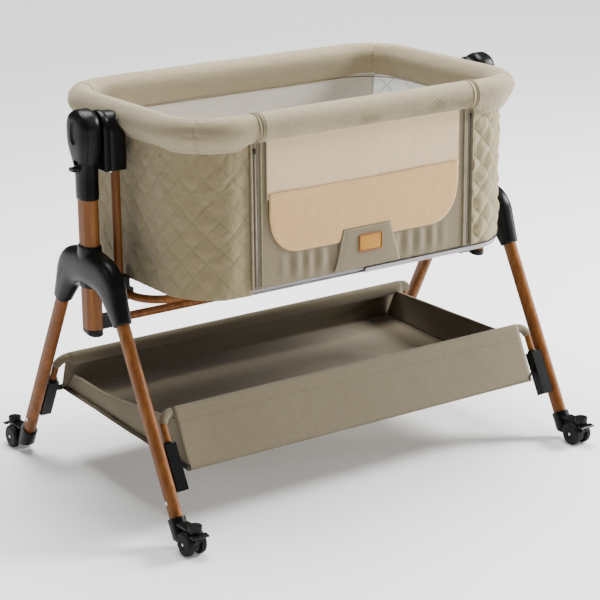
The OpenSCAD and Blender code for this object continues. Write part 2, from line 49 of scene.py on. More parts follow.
class Shader:
    """A node tree being built: makes nodes and links them with few words."""

    def __init__(self, name, rough, spec=0.5, metal=0.0):
        self.mat = bpy.data.materials.new(name)
        self.mat.use_nodes = True
        self.tree = self.mat.node_tree
        self.bsdf = self.tree.nodes["Principled BSDF"]
        self.set(self.bsdf, Roughness=rough, Metallic=metal)
        self.bsdf.inputs["Specular IOR Level"].default_value = spec

    def set(self, node, **values):
        for key, value in values.items():
            node.inputs[key].default_value = value

    def add(self, kind, **values):
        node = self.tree.nodes.new(kind)
        for key, value in values.items():
            setattr(node, key, value)
        return node

    def link(self, output, target):
        self.tree.links.new(output, target)

    def place(self, scale=(1, 1, 1), turn=(0, 0, 0), uv=False):
        """Coordinates of the row frame, or of the piece's own cloth, scaled and turned."""
        coords = self.add("ShaderNodeTexCoord")
        mapping = self.add("ShaderNodeMapping")
        mapping.inputs["Scale"].default_value = scale
        mapping.inputs["Rotation"].default_value = turn
        self.link(coords.outputs["UV" if uv else "Object"], mapping.inputs["Vector"])
        return mapping.outputs["Vector"]

    def noise(self, where, scale, detail=3.0, rough=0.5):
        node = self.add("ShaderNodeTexNoise")
        self.set(node, Scale=scale, Detail=detail, Roughness=rough)
        self.link(where, node.inputs["Vector"])
        return node.outputs["Fac"]

    def wave(self, where, scale, direction="X", distortion=0.0):
        node = self.add("ShaderNodeTexWave", bands_direction=direction)
        self.set(node, Scale=scale, Distortion=distortion, Detail=1.0)
        self.link(where, node.inputs["Vector"])
        return node.outputs["Fac"]

    def ramp(self, fac, *stops):
        """Colours at places from 0 to 1 along fac."""
        node = self.add("ShaderNodeValToRGB")
        while len(node.color_ramp.elements) < len(stops):
            node.color_ramp.elements.new(0.5)
        for element, (place, colour) in zip(node.color_ramp.elements, stops):
            element.position = place
            element.color = (*colour, 1)
        self.link(fac, node.inputs["Fac"])
        return node.outputs["Color"]

    def feed(self, socket, value):
        """Gives an input a link, a number or a colour of three numbers."""
        if isinstance(value, bpy.types.NodeSocket):
            self.link(value, socket)
        else:
            socket.default_value = (*value, 1) if isinstance(value, tuple) else value

    def mix(self, fac, a, b, blend="MIX"):
        """Blends two colours; each is a socket or three numbers."""
        node = self.add("ShaderNodeMix", data_type="RGBA", blend_type=blend)
        for place, value in ((0, fac), (6, a), (7, b)):
            self.feed(node.inputs[place], value)
        return node.outputs[2]

    def math(self, how, a, b=0.5):
        node = self.add("ShaderNodeMath", operation=how)
        self.feed(node.inputs[0], a)
        self.feed(node.inputs[1], b)
        return node.outputs[0]

    def span(self, fac, low, high, start=0.0, end=1.0, how="LINEAR"):
        """fac, from start to end, as a number from low to high."""
        node = self.add("ShaderNodeMapRange", interpolation_type=how)
        self.link(fac, node.inputs["Value"])
        self.set(node, **{"From Min": start, "From Max": end, "To Min": low, "To Max": high})
        return node.outputs["Result"]

    def lattice(self, where, pitch, width):
        """1 on lines that cross at 45 degrees pitch apart, width across, and 0 between them."""
        turned = self.add("ShaderNodeMapping")
        turned.inputs["Rotation"].default_value = (0, 0, math.pi / 4)
        turned.inputs["Scale"].default_value = (1 / pitch, 1 / pitch, 1)
        self.link(where, turned.inputs["Vector"])
        parts = self.add("ShaderNodeSeparateXYZ")
        self.link(turned.outputs["Vector"], parts.inputs["Vector"])
        near = self.math("MINIMUM", self.math("PINGPONG", parts.outputs["X"], 0.5),
                         self.math("PINGPONG", parts.outputs["Y"], 0.5))
        return self.span(near, 1.0, 0.0, end=width / pitch, how="SMOOTHSTEP")

    def colour(self, socket):
        self.link(socket, self.bsdf.inputs["Base Color"])

    def roughness(self, socket):
        self.link(socket, self.bsdf.inputs["Roughness"])

    def bump(self, height, depth, strength=1.0, over=None):
        """Surface relief; over is a finer height, depth and strength laid on top of it."""
        node = self.add("ShaderNodeBump")
        self.set(node, Strength=strength, Distance=depth)
        self.link(height, node.inputs["Height"])
        if over:
            fine = self.add("ShaderNodeBump")
            self.set(fine, Strength=over[2], Distance=over[1])
            self.link(over[0], fine.inputs["Height"])
            self.link(node.outputs["Normal"], fine.inputs["Normal"])
            node = fine
        self.link(node.outputs["Normal"], self.bsdf.inputs["Normal"])


def wood_look(name, turn):
    """Printed wood film on a tube: long grain along the turned local Z."""
    s = Shader(name, 0.46, spec=0.24)
    along = s.place(scale=(1, 1, 0.035), turn=turn)
    streaks = s.noise(along, 95, detail=5, rough=0.62)
    figure = s.noise(s.place(scale=(1, 1, 0.12), turn=turn), 28, detail=3)
    pores = s.noise(s.place(scale=(1, 1, 0.02), turn=turn), 420, detail=2)
    base = s.ramp(streaks, (0.28, (0.105, 0.032, 0.0060)), (0.50, (0.200, 0.070, 0.0140)),
                  (0.72, (0.305, 0.122, 0.0270)))
    toned = s.mix(s.ramp(figure, (0.35, (0, 0, 0)), (0.68, (1, 1, 1))), base,
                  (0.150, 0.048, 0.0085))
    dark = s.ramp(pores, (0.30, (0.45, 0.45, 0.45)), (0.46, (1, 1, 1)))
    s.colour(s.mix(0.35, toned, dark, blend="MULTIPLY"))
    s.roughness(s.span(streaks, 0.38, 0.52))
    s.bump(pores, 0.0004, strength=0.25)
    return s.mat


def moulded_plastic(name, shade, rough=0.31):
    """Fine-grained moulding with a faint sheen and slightly uneven gloss."""
    s = Shader(name, rough, spec=0.15)
    spot = s.place()
    grain = s.noise(spot, 2600, detail=2)
    cloud = s.noise(spot, 22, detail=3)
    scuff = s.noise(spot, 160, detail=4, rough=0.65)
    light = tuple(c * 1.5 + 0.001 for c in shade)
    s.colour(s.mix(s.span(cloud, 0.0, 0.8), shade, light))
    s.roughness(s.span(scuff, rough - 0.07, rough + 0.10))
    s.bump(grain, 0.00015, strength=0.30)
    return s.mat


def plated_steel(name):
    """Bright steel with fine brush marks across local Z."""
    s = Shader(name, 0.28, metal=1.0)
    brushed = s.noise(s.place(scale=(1, 1, 12)), 300, detail=3)
    s.colour(s.ramp(brushed, (0.3, (0.50, 0.50, 0.51)), (0.7, (0.70, 0.70, 0.69))))
    s.roughness(s.span(brushed, 0.22, 0.40))
    s.bump(brushed, 0.00005, strength=0.3)
    return s.mat


def darker(shade, share):
    """A shade times a share; a share over 1 lightens it, up to white."""
    return tuple(min(1.0, c * share) for c in shade)


WAVE_PERIOD = 0.314    # distance between a wave texture's bands when its scale is 1


def woven(name, shade, thread=0.0011, uv=True, quilt=0.0, left_painted_shade=0.0, glow=0.0):
    """Plain weave whose threads are thread metres apart, with slubs and mixed yarns.

    quilt is how far apart its seams are; their lines are thread colour and painted shade.
    Beyond about 1 m along a quilt, on its left half, the seams show less, and left_painted_shade
    makes the cloth darker there: painted shade on that half.
    glow makes the cloth glow faintly: painted light that brightens it.
    """
    rough = 0.86
    s = Shader(name, rough, spec=0.25)
    cloth = s.place(uv=uv)
    scale = WAVE_PERIOD / thread
    warp = s.wave(cloth, scale, "X", distortion=0.6)
    weft = s.wave(cloth, scale, "Y", distortion=0.6)
    weave = s.math("MULTIPLY", warp, weft)
    mixed = s.noise(cloth, 900, detail=2)
    patch = s.noise(cloth, 9, detail=4)
    yarn = s.ramp(mixed, (0.35, darker(shade, 0.84)), (0.5, shade), (0.66, darker(shade, 1.096)))
    body = s.mix(s.span(weave, 0.10, 0.0), yarn, darker(shade, 0.55))
    toned = s.mix(s.span(patch, 0.0, 0.30), body, darker(shade, 0.86))
    fleck = s.noise(s.place(scale=(1, 0.45, 1), uv=uv), 330, detail=3, rough=0.6)
    toned = s.mix(s.span(fleck, -0.30, 0.52), toned, darker(shade, 0.60))
    if quilt:
        # Seam lines are darkened: partly thread colour, partly painted shade in the stitched
        # valleys. The darkening is patchy and weaker on the left half.
        seams = s.lattice(cloth, quilt, 0.0034)
        seam_shade_breakup = s.noise(cloth, 38, detail=3)
        along = s.add("ShaderNodeSeparateXYZ")
        s.link(cloth, along.inputs["Vector"])
        left_half_fade = s.span(along.outputs["X"], 1.0, 0.5, start=1.0, end=1.25)
        # Painted shade: the cloth's left half is mixed towards a darker, browner tone.
        toned = s.mix(s.span(left_half_fade, left_painted_shade, 0.0), toned,
                      (0.46 * shade[0], 0.38 * shade[1], 0.36 * shade[2]))
        shown = s.math("MULTIPLY", s.span(seam_shade_breakup, -0.10, 1.05), left_half_fade)
        toned = s.mix(s.math("MULTIPLY", seams, shown), toned, darker(shade, 0.36))
    s.colour(toned)
    s.roughness(s.span(mixed, rough - 0.06, rough + 0.06))
    # Emission is painted light: a faint glow that brightens the cloth.
    s.set(s.bsdf, **{"Sheen Weight": 0.25, "Sheen Roughness": 0.5,
                     "Emission Color": (0.97, 0.99, 1, 1), "Emission Strength": glow})
    creases = s.noise(cloth, 70, detail=4, rough=0.62)
    s.bump(creases, 0.0030 if quilt else 0.0016, strength=0.55, over=(weave, 0.0004, 0.45))
    return s.mat


BLACK = moulded_plastic("black moulding", (0.0038, 0.004, 0.0041))
WHEEL = moulded_plastic("wheel rubber", (0.006, 0.006, 0.0061), rough=0.55)
BUSH = moulded_plastic("bush plastic", (0.01, 0.01, 0.01), rough=0.45)
STEEL = plated_steel("plated steel")
LEAN = math.radians(27.8)    # of the legs, from upright
WOOD_POST = wood_look("wood look upright", (0, 0, 0))
WOOD_BACK = wood_look("wood look back legs", (-LEAN, 0, 0))
WOOD_FRONT = wood_look("wood look front legs", (LEAN, 0, 0))
WOOD_LONG = wood_look("wood look along", (0, math.pi / 2, 0))
RAIL_CLOTH = woven("rail cloth", (0.322, 0.264, 0.16))
# The quilt cloth's left half carries painted shade.
QUILT_CLOTH = woven("quilt cloth", (0.335, 0.278, 0.15), quilt=0.037, left_painted_shade=0.60)
BAND_CLOTH = woven("front band cloth", (0.212, 0.171, 0.102))
TRAY_CLOTH = woven("tray cloth", (0.168, 0.136, 0.081), thread=0.0014)
MATTRESS_CLOTH = woven("mattress cover", (0.74, 0.72, 0.66), thread=0.0008)
# The white lining glows faintly: painted light that brightens it.
LINING_CLOTH = woven("white lining", (0.96, 0.975, 0.985), thread=0.0008, quilt=0.046,
                     glow=0.11)
GREY_MESH = woven("grey mesh lining", (0.58, 0.54, 0.46), thread=0.0015)
MESH_CLOTH = woven("mesh window", (0.68, 0.51, 0.305), thread=0.0015)
TAN_CLOTH = woven("tan panel", (0.645, 0.398, 0.16))
TRIM_CLOTH = woven("trim band", (0.44, 0.41, 0.42))
ZIP_TAPE = woven("zip tape", (0.2, 0.165, 0.105), thread=0.0007)
BINDING = woven("tray binding", (0.24, 0.19, 0.115), thread=0.0007)
LEATHER = woven("leather", (0.5, 0.235, 0.022), uv=False)
LEATHER_RIM = woven("leather rim", (0.26, 0.075, 0.01), uv=False)
DARK_THREAD = moulded_plastic("dark thread", (0.030, 0.028, 0.026), rough=0.7)
LIGHT_THREAD = moulded_plastic("light thread", (0.62, 0.57, 0.45), rough=0.8)
SEAM_THREAD = moulded_plastic("seam thread", (0.22, 0.16, 0.09), rough=0.8)
ZIP_TEETH = moulded_plastic("zip teeth", (0.045, 0.028, 0.015), rough=0.5)
DARK_METAL = moulded_plastic("zip metal", (0.03, 0.024, 0.018), rough=0.35)
BOARD = moulded_plastic("base board", (0.16, 0.16, 0.155), rough=0.6)


def paint(obj, material):
    """Makes a material the only one of an object."""
    obj.data.materials.clear()
    obj.data.materials.append(material)


NODE_MATERIALS = (
    (("leg_back",), WOOD_BACK),
    (("leg_front",), WOOD_FRONT),
    (("post_left", "post_right", "end_uprights"), WOOD_POST),
    (("stretcher_clamps", "storage_brackets"), BLACK),
    (("stretcher", "storage_rods", "base_loop"), WOOD_LONG),
    (("leg_screws", "pivot_bolts", "bracket_screws", "rail_tube", "drop_rail_tube", "axle"), STEEL),
    (("wheels",), WHEEL),
    (("post_bushes",), BUSH),
    (("storage_tray",), TRAY_CLOTH),
    (("rail_sleeve", "drop_rail_sleeve"), RAIL_CLOTH),
    (("basket_shell",), QUILT_CLOTH),
    (("base_board",), BOARD),
    (("mattress",), MATTRESS_CLOTH),
    (("drop_panel",), MESH_CLOTH),
    (("label_patch",), LEATHER),
)


def node_material(name):
    """The material of a CAD node that stays."""
    for starts, material in NODE_MATERIALS:
        if name.startswith(starts):
            return material
    return BLACK


for cad_name, cad_node in NODES.items():
    paint(cad_node, node_material(cad_name))


# ---------- mesh building ----------

def new_object(name, data):
    """An object of the scene that holds a mesh, a lamp or a camera."""
    obj = bpy.data.objects.new(name, data)
    bpy.context.scene.collection.objects.link(obj)
    return obj


def opened(mesh):
    """A bmesh with a mesh's contents."""
    source = bmesh.new()
    source.from_mesh(mesh)
    return source


def stored(source, mesh):
    """Puts a bmesh into a mesh with its faces turned outwards, and frees it."""
    bmesh.ops.recalc_face_normals(source, faces=source.faces)
    source.to_mesh(mesh)
    source.free()
    return mesh


def fill_holes(source):
    bmesh.ops.holes_fill(source, edges=[e for e in source.edges if e.is_boundary])


def add_piece(name, verts, faces, material, body, uvs=None):
    """A smooth mesh object that rides on a CAD body. uvs holds one pair for each face corner."""
    mesh = bpy.data.meshes.new(name)
    mesh.from_pydata(verts, [], faces)
    if uvs:
        layer = mesh.uv_layers.new(name="cloth")
        layer.data.foreach_set("uv", [value for pair in uvs for value in pair])
    mesh.polygons.foreach_set("use_smooth", [True] * len(mesh.polygons))
    obj = new_object(name, mesh)
    paint(obj, material)
    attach(obj, body)
    return obj


def grid_piece(name, rows, material, body, uv, closed=False, flip=False):
    """A skin over rows of points. uv(row, column) gives cloth coordinates in metres."""
    columns = len(rows[0])
    faces, uvs = [], []
    for r in range(len(rows) - 1):
        for c in range(columns if closed else columns - 1):
            corners = [(r, c), (r, c + 1), (r + 1, c + 1), (r + 1, c)]
            if flip:
                corners.reverse()
            faces.append([i * columns + j % columns for i, j in corners])
            uvs.extend(uv(i, j) for i, j in corners)
    verts = [point for row in rows for point in row]
    return add_piece(name, verts, faces, material, body, uvs)


def thicken(obj, thickness, offset=-1.0):
    """Gives a cloth its thickness; an offset of -1 keeps the outer face where it is."""
    solid = obj.modifiers.new("thickness", "SOLIDIFY")
    solid.thickness = thickness
    solid.offset = offset
    return obj


def tube_points(path, radius, sides, loop=False):
    """Rings of points round a path, which may vary in radius."""
    rows = []
    count = len(path)
    side = None
    for k in range(count):
        before = path[(k - 1) % count] if loop or k > 0 else path[k]
        after = path[(k + 1) % count] if loop or k < count - 1 else path[k]
        along = (after - before).normalized()
        if side is None:
            side = along.cross(Vector((0.13, 0.21, 0.97))).normalized()
        side = (side - along * side.dot(along)).normalized()
        up = along.cross(side)
        size = radius[k] if isinstance(radius, list) else radius
        turns = [2 * math.pi * j / sides for j in range(sides)]
        rows.append([path[k] + (side * math.cos(t) + up * math.sin(t)) * size for t in turns])
    return rows


def tube_piece(name, path, radius, material, body, sides=10, loop=False):
    """A round cord or piping along a path, with rounded ends unless it is a loop."""
    path = [Vector(p) for p in path]
    if not loop:
        first = (path[1] - path[0]).normalized() * radius * 0.6
        last = (path[-1] - path[-2]).normalized() * radius * 0.6
        sizes = [radius * 0.2, radius * 0.8] + [radius] * len(path) + [radius * 0.8, radius * 0.2]
        path = [path[0] - first, path[0] - first * 0.7] + path + [path[-1] + last * 0.7,
                                                                  path[-1] + last]
        rows = tube_points(path, sizes, sides)
    else:
        rows = tube_points(path, radius, sides, loop=True)
        rows.append(rows[0])
    steps = [0.0]
    for a, b in zip(path, path[1:] + path[:1]):
        steps.append(steps[-1] + (b - a).length)
    girth = 2 * math.pi * radius
    obj = grid_piece(name, rows, material, body,
                     lambda r, c: (steps[r], c * girth / sides), closed=True, flip=True)
    source = opened(obj.data)
    if loop:
        bmesh.ops.remove_doubles(source, verts=source.verts, dist=1e-7)
    else:
        fill_holes(source)
    stored(source, obj.data)
    return obj


def stitch_piece(name, paths, material, body, pitch=0.0042, dash=0.0028, size=0.00045):
    """Rows of thread dashes along paths, each path a list of points."""
    verts, faces = [], []
    for path in paths:
        path = [Vector(p) for p in path]
        carried = pitch / 2
        for a, b in zip(path, path[1:]):
            span = (b - a).length
            along = (b - a) / span
            side = along.cross(Vector((0.3, 1, 0.2))).normalized() * size
            up = along.cross(side)
            while carried < span:
                mid = a + along * carried
                n = len(verts)
                verts += [mid - along * dash / 2, mid + side, mid + up, mid - side, mid - up,
                          mid + along * dash / 2]
                for j in range(4):
                    k = (j + 1) % 4
                    faces += [(n, n + 1 + k, n + 1 + j), (n + 5, n + 1 + j, n + 1 + k)]
                carried += pitch
            carried -= span
    return add_piece(name, verts, faces, material, body)


class Ring:
    """A rounded rectangle, walked anticlockwise from the middle of its front side."""

    def __init__(self, a, b, corner):
        self.a, self.b, self.corner = a, b, corner
        arc = math.pi * corner / 2
        x, y = a - corner, b - corner
        self.legs = [x, arc, 2 * y, arc, 2 * x, arc, 2 * y, arc, x]
        self.length = sum(self.legs)
        self.middles = []
        for k in (1, 3, 5, 7):
            self.middles.append(sum(self.legs[:k]) + arc / 2)

    def at(self, s):
        """Point and outward direction at distance s from the start."""
        s %= self.length
        x, y = self.a - self.corner, self.b - self.corner
        starts = [((0, -self.b), 0), ((x, -y), 0), ((self.a, -y), 1), ((x, y), 1),
                  ((x, self.b), 2), ((-x, y), 2), ((-self.a, y), 3), ((-x, -y), 3),
                  ((-x, -self.b), 4)]
        for k, leg in enumerate(self.legs):
            if s <= leg or k == 8:
                break
            s -= leg
        spot, quarter = starts[k]
        turn = quarter * math.pi / 2
        if k % 2 == 0:
            outward = Vector((math.sin(turn), -math.cos(turn), 0))
            along = Vector((math.cos(turn), math.sin(turn), 0))
            return Vector((*spot, 0)) + along * s, outward
        turn += s / self.corner
        outward = Vector((math.sin(turn), -math.cos(turn), 0))
        return Vector((*spot, 0)) + outward * self.corner, outward


def ripple(*where, seed=0.0):
    """Smooth noise from -1 to 1 at up to two coordinates."""
    x, y = (*where, 0.0)[:2]
    return noise.noise(Vector((x, y, seed)))


def spaced(start, end, step):
    """Even distances from start to end, at most step apart."""
    count = max(1, math.ceil((end - start) / step - 1e-6))
    return [start + (end - start) * k / count for k in range(count + 1)]


def aligned(start, end, step):
    """Distances from start to end that fall on whole steps between the two."""
    first, last = math.ceil(start / step + 0.2), math.floor(end / step - 0.2)
    return [start] + [k * step for k in range(first, last + 1)] + [end]


# ---------- rail ----------

rail_low, rail_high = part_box("rail_sleeve")
basket_low, basket_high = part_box("basket_shell")
SLEEVE_R = (rail_high.z - rail_low.z) / 2
RAIL_Z = (rail_high.z + rail_low.z) / 2
RAIL = Ring(rail_high.x - SLEEVE_R, rail_high.y - SLEEVE_R, 0.098)
WALL = Ring(basket_high.x, basket_high.y, 0.110)
DROP_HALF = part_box("drop_rail_sleeve")[1].x
SPLIT = DROP_HALF + 0.001
BAND_Z = basket_low.z + 0.0105
WALL_TOP = basket_high.z
QUILT_START = 0.262


def left_share(s):
    """0 along the right half of the basket and 1 along the left, with soft changes between."""
    half = WALL.length / 2
    t = max(0.0, min(1.0, (s - half + 0.1) / 0.2))
    return t * t * (3 - 2 * t)


def sleeve_piece(name, stations, shape, body, replaced):
    """Padded sleeve round the rail. stations are distances and sizes; shape adds to its radius."""
    around = 64
    rows = []
    for s, size in stations:
        spot, outward = RAIL.at(s)
        centre = spot + Vector((0, 0, RAIL_Z))
        row = []
        for k in range(around):
            turn = 2 * math.pi * k / around
            radius = (SLEEVE_R + shape(s, turn)) * size
            row.append(centre + outward * math.cos(turn) * radius
                       + Vector((0, 0, math.sin(turn) * radius)))
        rows.append(row)
    girth = 2 * math.pi * SLEEVE_R
    obj = grid_piece(name, rows, RAIL_CLOTH, body,
                     lambda r, c: (stations[r][0], c * girth / around), closed=True, flip=True)
    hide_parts(replaced)


def with_ends(start, end, step, seams=()):
    """Stations along a sleeve whose ends fold in to the tube, closer together at its seams."""
    fold = [(0.0, 0.40), (0.0, 0.88), (0.0006, 0.95), (0.002, 0.985), (0.0045, 1.0)]
    places = spaced(start + 0.008, end - 0.008, step)
    for seam in seams:
        places = [s for s in places if abs(s - seam) > 0.010]
        places += [seam + k * 0.0011 for k in range(-9, 10)]
    inner = [(s, 1.0) for s in sorted(places)]
    closing = [(end - d, size) for d, size in reversed(fold)]
    return [(start + d, size) for d, size in fold] + inner + closing


OUTER_TIP = 0.0445, math.radians(-86)
INNER_TIP = 0.0452, math.radians(-99.5)


def skirt(s, turn):
    """Below the tube the sleeve's cloth runs straight down to the wall, outside and inside."""
    turn = (turn + math.pi) % (2 * math.pi) - math.pi
    if turn > 0.5 * math.pi:
        turn -= 2 * math.pi
    end = min(s - SPLIT, RAIL.length - SPLIT - s)
    taper = max(0.0, min(1.0, (end - 0.004) / 0.03))
    outer = taper * (1 - 0.55 * left_share(s))
    reach = 0.0
    for (tip, tip_turn), way, strength in ((OUTER_TIP, 1, outer), (INNER_TIP, -1, taper)):
        past = way * (turn - tip_turn)
        spread = math.acos(SLEEVE_R / tip)
        if 0 <= past < spread:
            reach = (SLEEVE_R / math.cos(spread - past) - SLEEVE_R) * strength
    if INNER_TIP[1] < turn < OUTER_TIP[1]:
        share = (turn - INNER_TIP[1]) / (OUTER_TIP[1] - INNER_TIP[1])
        reach = (INNER_TIP[0] - SLEEVE_R) * taper * (1 - share)
        reach += (OUTER_TIP[0] - SLEEVE_R) * outer * share
    return reach


def soft_rail(s, turn):
    """Seams at the four corners, tucks beside the front rail, faint creases and unevenness."""
    bulge = 0.0009 * ripple(s * 9, math.cos(turn) * 1.5, seed=3.0) - 0.0008 + skirt(s, turn)
    bulge += 0.0005 * ripple(s * 45, math.sin(turn) * 3, seed=3.5)
    end = min(s - SPLIT, RAIL.length - SPLIT - s)
    under = max(0.0, math.cos(turn + 1.2)) ** 2
    tuck = 1 - abs(math.sin(math.pi * (s + 0.010 * turn + 0.003 * ripple(s * 60, seed=3.7)) / 0.013))
    bulge -= 0.0042 * under * tuck * tuck * math.exp(-end / 0.07) * min(1.0, end / 0.01)
    for seam in RAIL.middles:
        off = s - seam
        if abs(off) < 0.08:
            bulge -= 0.0032 * math.exp(-(off / 0.0021) ** 2)
            pucker = math.sin(turn * 15 + 3 * ripple(turn * 2, seed=seam))
            bulge += 0.0007 * pucker * math.exp(-abs(off) / 0.012) * min(1, abs(off) / 0.003)
            bulge += 0.0012 * ripple(s * 50, turn * 2, seed=9.0) * math.exp(-abs(off) / 0.03)
    return bulge


def gathered_rail(s, turn):
    """The front sleeve, with slanting tucks on its lower outer side, deeper at the right."""
    offset = (s + 0.5 * RAIL.length) % RAIL.length - 0.5 * RAIL.length
    turn = (turn + math.pi) % (2 * math.pi) - math.pi
    lower = max(0.0, math.cos(turn + 0.75)) ** 2
    fade = min(1.0, (DROP_HALF - abs(offset)) / 0.02)
    patchy = max(0.0, 0.62 + 0.5 * offset / DROP_HALF + 0.75 * ripple(offset * 22, turn, seed=2.0))
    phase = offset - 0.034 * turn + 0.0034 * ripple(offset * 38, turn * 1.5, seed=5.0)
    tuck = 1 - abs(math.sin(math.pi * phase / 0.0115))
    return (0.0006 * ripple(offset * 10, math.cos(turn), seed=1.0) + 0.0002
            - 0.0066 * lower * fade * patchy * tuck ** 1.25)


sleeve_piece("rail_padded_sleeve",
             with_ends(SPLIT, RAIL.length - SPLIT, 0.0045, RAIL.middles), soft_rail, "cradle",
             "rail_sleeve")
sleeve_piece("front_rail_padded_sleeve", with_ends(-DROP_HALF, DROP_HALF, 0.0017), gathered_rail,
             "drop_side", "drop_rail_sleeve")


def cuff(name, x, body):
    """A ring of piping round the rail sleeve at x."""
    radius = SLEEVE_R + 0.0002
    ring = [(x, -RAIL.b + radius * math.cos(t), RAIL_Z + radius * math.sin(t))
            for t in (2 * math.pi * k / 48 for k in range(48))]
    tube_piece(name, ring, 0.0014, RAIL_CLOTH, body, sides=8, loop=True)


for side, word in ((-1, "left"), (1, "right")):
    cuff(f"rail_cuff_piping_{word}", side * 0.2555, "cradle")
    cuff(f"front_rail_cuff_piping_{word}", side * 0.2425, "drop_side")


# ---------- basket wall ----------

QUILT = 0.037
QUILT_STEP = QUILT * math.sqrt(2) / 14
LINING_QUILT = 0.046


def diamonds(s, z, pitch=QUILT):
    """From 0 on the quilting seams to 1 in the middle of each diamond."""
    u = (s + z) / (pitch * math.sqrt(2))
    v = (s - z) / (pitch * math.sqrt(2))
    return (abs(math.sin(math.pi * u)) * abs(math.sin(math.pi * v))) ** 0.62


def quilted_skin(s, z):
    """How far the outer quilted wall stands proud of the basket's outline, and any drop."""
    left = left_share(s)
    loft = 0.0066 - 0.0046 * left
    wander = 0.0026 * ripple(s * 17, z * 17, seed=3.9)
    puff = diamonds(s + wander, z - wander) * loft * (0.80 + 0.60 * ripple(s * 34, z * 34, seed=4.0))
    crease = 0.0010 * ripple(s * 85, z * 85, seed=6.0) + 0.0016 * ripple(s * 22, z * 16, seed=7.0)
    crease += 0.0009 * ripple((s + z) * 55, (s - z) * 130, seed=7.5)
    drape = left * 0.0042 * ripple(s * 20 + 2 * ripple(z * 8, seed=8.0), z * 4, seed=8.5)
    top = math.exp(-(WALL_TOP - z) / 0.026)
    pleat = top * 0.0017 * math.sin(2 * math.pi * (s + 0.004 * ripple(s * 30, seed=9.5)) / 0.017)
    low = max(0.0, 1 - (z - BAND_Z) / 0.014)
    drop = -0.0080 * left * max(0.0, 1 - (z - BAND_Z) / 0.04)
    out = puff - 0.0036 + crease + drape + pleat - 0.0030 * low * low * (1 - left)
    return max(out, -0.0040), drop


def wall_piece(name, ring, start, end, low, high, step, skin, material, body, thickness,
               inward=False):
    """Cloth wall along a ring from start to end. skin(s, z) moves it outwards."""
    distances, heights = aligned(start, end, step), aligned(low, high, step)
    rows = []
    for z in heights:
        row = []
        for s in distances:
            spot, outward = ring.at(s)
            moved = skin(s, z)
            out, up = moved if isinstance(moved, tuple) else (moved, 0.0)
            row.append(spot + outward * out + Vector((0, 0, z + up)))
        rows.append(row)
    obj = grid_piece(name, rows, material, body,
                     lambda r, c: (distances[c], heights[r]), flip=inward)
    return thicken(obj, thickness)


wall = wall_piece("quilted_wall", WALL, QUILT_START, WALL.length - QUILT_START, BAND_Z - 0.001,
                  WALL_TOP + 0.005, QUILT_STEP, quilted_skin, QUILT_CLOTH, "cradle",
                  0.0014)
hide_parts("basket_shell")

LINING = Ring(WALL.a - 0.0072, WALL.b - 0.0072, WALL.corner - 0.0072)
LINING_START = 0.2515
LINING_LOW = basket_low.z + 0.009
LINING_TOP = WALL_TOP + 0.004
HEM_Z = WALL_TOP - 0.0150
back_right, back_left = LINING.middles[1], LINING.middles[2]


def quilted_lining(s, z):
    """The inner quilting bulges towards the inside of the cot."""
    crease = 0.0006 * ripple(s * 80, z * 80, seed=11.0)
    fade = max(0.0, min(1.0, (WALL_TOP - 0.018 - z) / 0.012))
    return 0.0004 - 0.0040 * fade * diamonds(s, z, LINING_QUILT) + crease * fade


def plain_lining(s, z):
    """The back's mesh is nearly flat."""
    return (0.0009 * ripple(s * 12, z * 9, seed=12.0) - 0.0008
            + 0.0003 * ripple(s * 60, z * 30, seed=13.0))


for word, start, end in (("right", LINING_START, back_right),
                         ("left", back_left, LINING.length - LINING_START)):
    lining = wall_piece(f"quilted_end_lining_{word}", LINING, start, end, LINING_LOW, LINING_TOP,
                        LINING_QUILT * math.sqrt(2) / 14, quilted_lining, LINING_CLOTH, "cradle",
                        0.0015, inward=True)
back = wall_piece("back_mesh_lining", LINING, back_right, back_left, LINING_LOW, LINING_TOP,
                  0.008, plain_lining, GREY_MESH, "cradle", 0.0012, inward=True)
for word, s in (("right", back_right), ("left", back_left)):
    spot, outward = LINING.at(s)
    seam = [spot - outward * 0.0018 + Vector((0, 0, z)) for z in spaced(LINING_LOW, HEM_Z, 0.02)]
    tube_piece(f"lining_seam_{word}", seam, 0.0013, LINING_CLOTH, "cradle")


def ring_path(ring, start, end, z, step=0.006, lift=0.0):
    """A path along a ring at height z, standing lift outside it."""
    path = []
    for s in spaced(start, end, step):
        spot, outward = ring.at(s)
        path.append(spot + outward * lift + Vector((0, 0, z)))
    return path


hem_path = ring_path(LINING, LINING_START, LINING.length - LINING_START, HEM_Z, lift=-0.0024)
tube_piece("lining_hem_seam", hem_path, 0.0009, SEAM_THREAD, "cradle", sides=6)


def band_skin(s, z):
    """The trim band round the bottom edge turns in under the basket."""
    up = (z - basket_low.z) / (BAND_Z - basket_low.z)
    tuck = 0.0060 * left_share(s)
    return -0.0005 - tuck - 0.0035 * (1 - up) ** 2 + 0.0005 * ripple(s * 30, z * 40, seed=15.0)


band = wall_piece("bottom_trim_band", WALL, 0, WALL.length, basket_low.z, BAND_Z, 0.0035,
                  band_skin, TRIM_CLOTH, "cradle", 0.0015)
zip_line = []
for s in spaced(0, WALL.length - 0.006, 0.006):
    spot, outward = WALL.at(s)
    zip_line.append(spot - outward * (0.0008 + 0.0064 * left_share(s))
                    + Vector((0, 0, BAND_Z + 0.0003)))
tube_piece("bottom_zip_line", zip_line, 0.0011, DARK_THREAD, "cradle", sides=6,
           loop=True)


def filled_ring(ring, levels, count):
    """Rows that close a ring to the line along its middle; levels are inset shares and heights."""
    spine = max(0.0, ring.a - ring.b)
    rows = []
    for share, z in levels:
        row = []
        for k in range(count):
            spot, _ = ring.at(ring.length * k / count)
            middle = Vector((max(-spine, min(spine, spot.x)), 0, 0))
            at = middle.lerp(spot, share)
            row.append(at + Vector((0, 0, z(at) if callable(z) else z)))
        rows.append(row)
    return rows


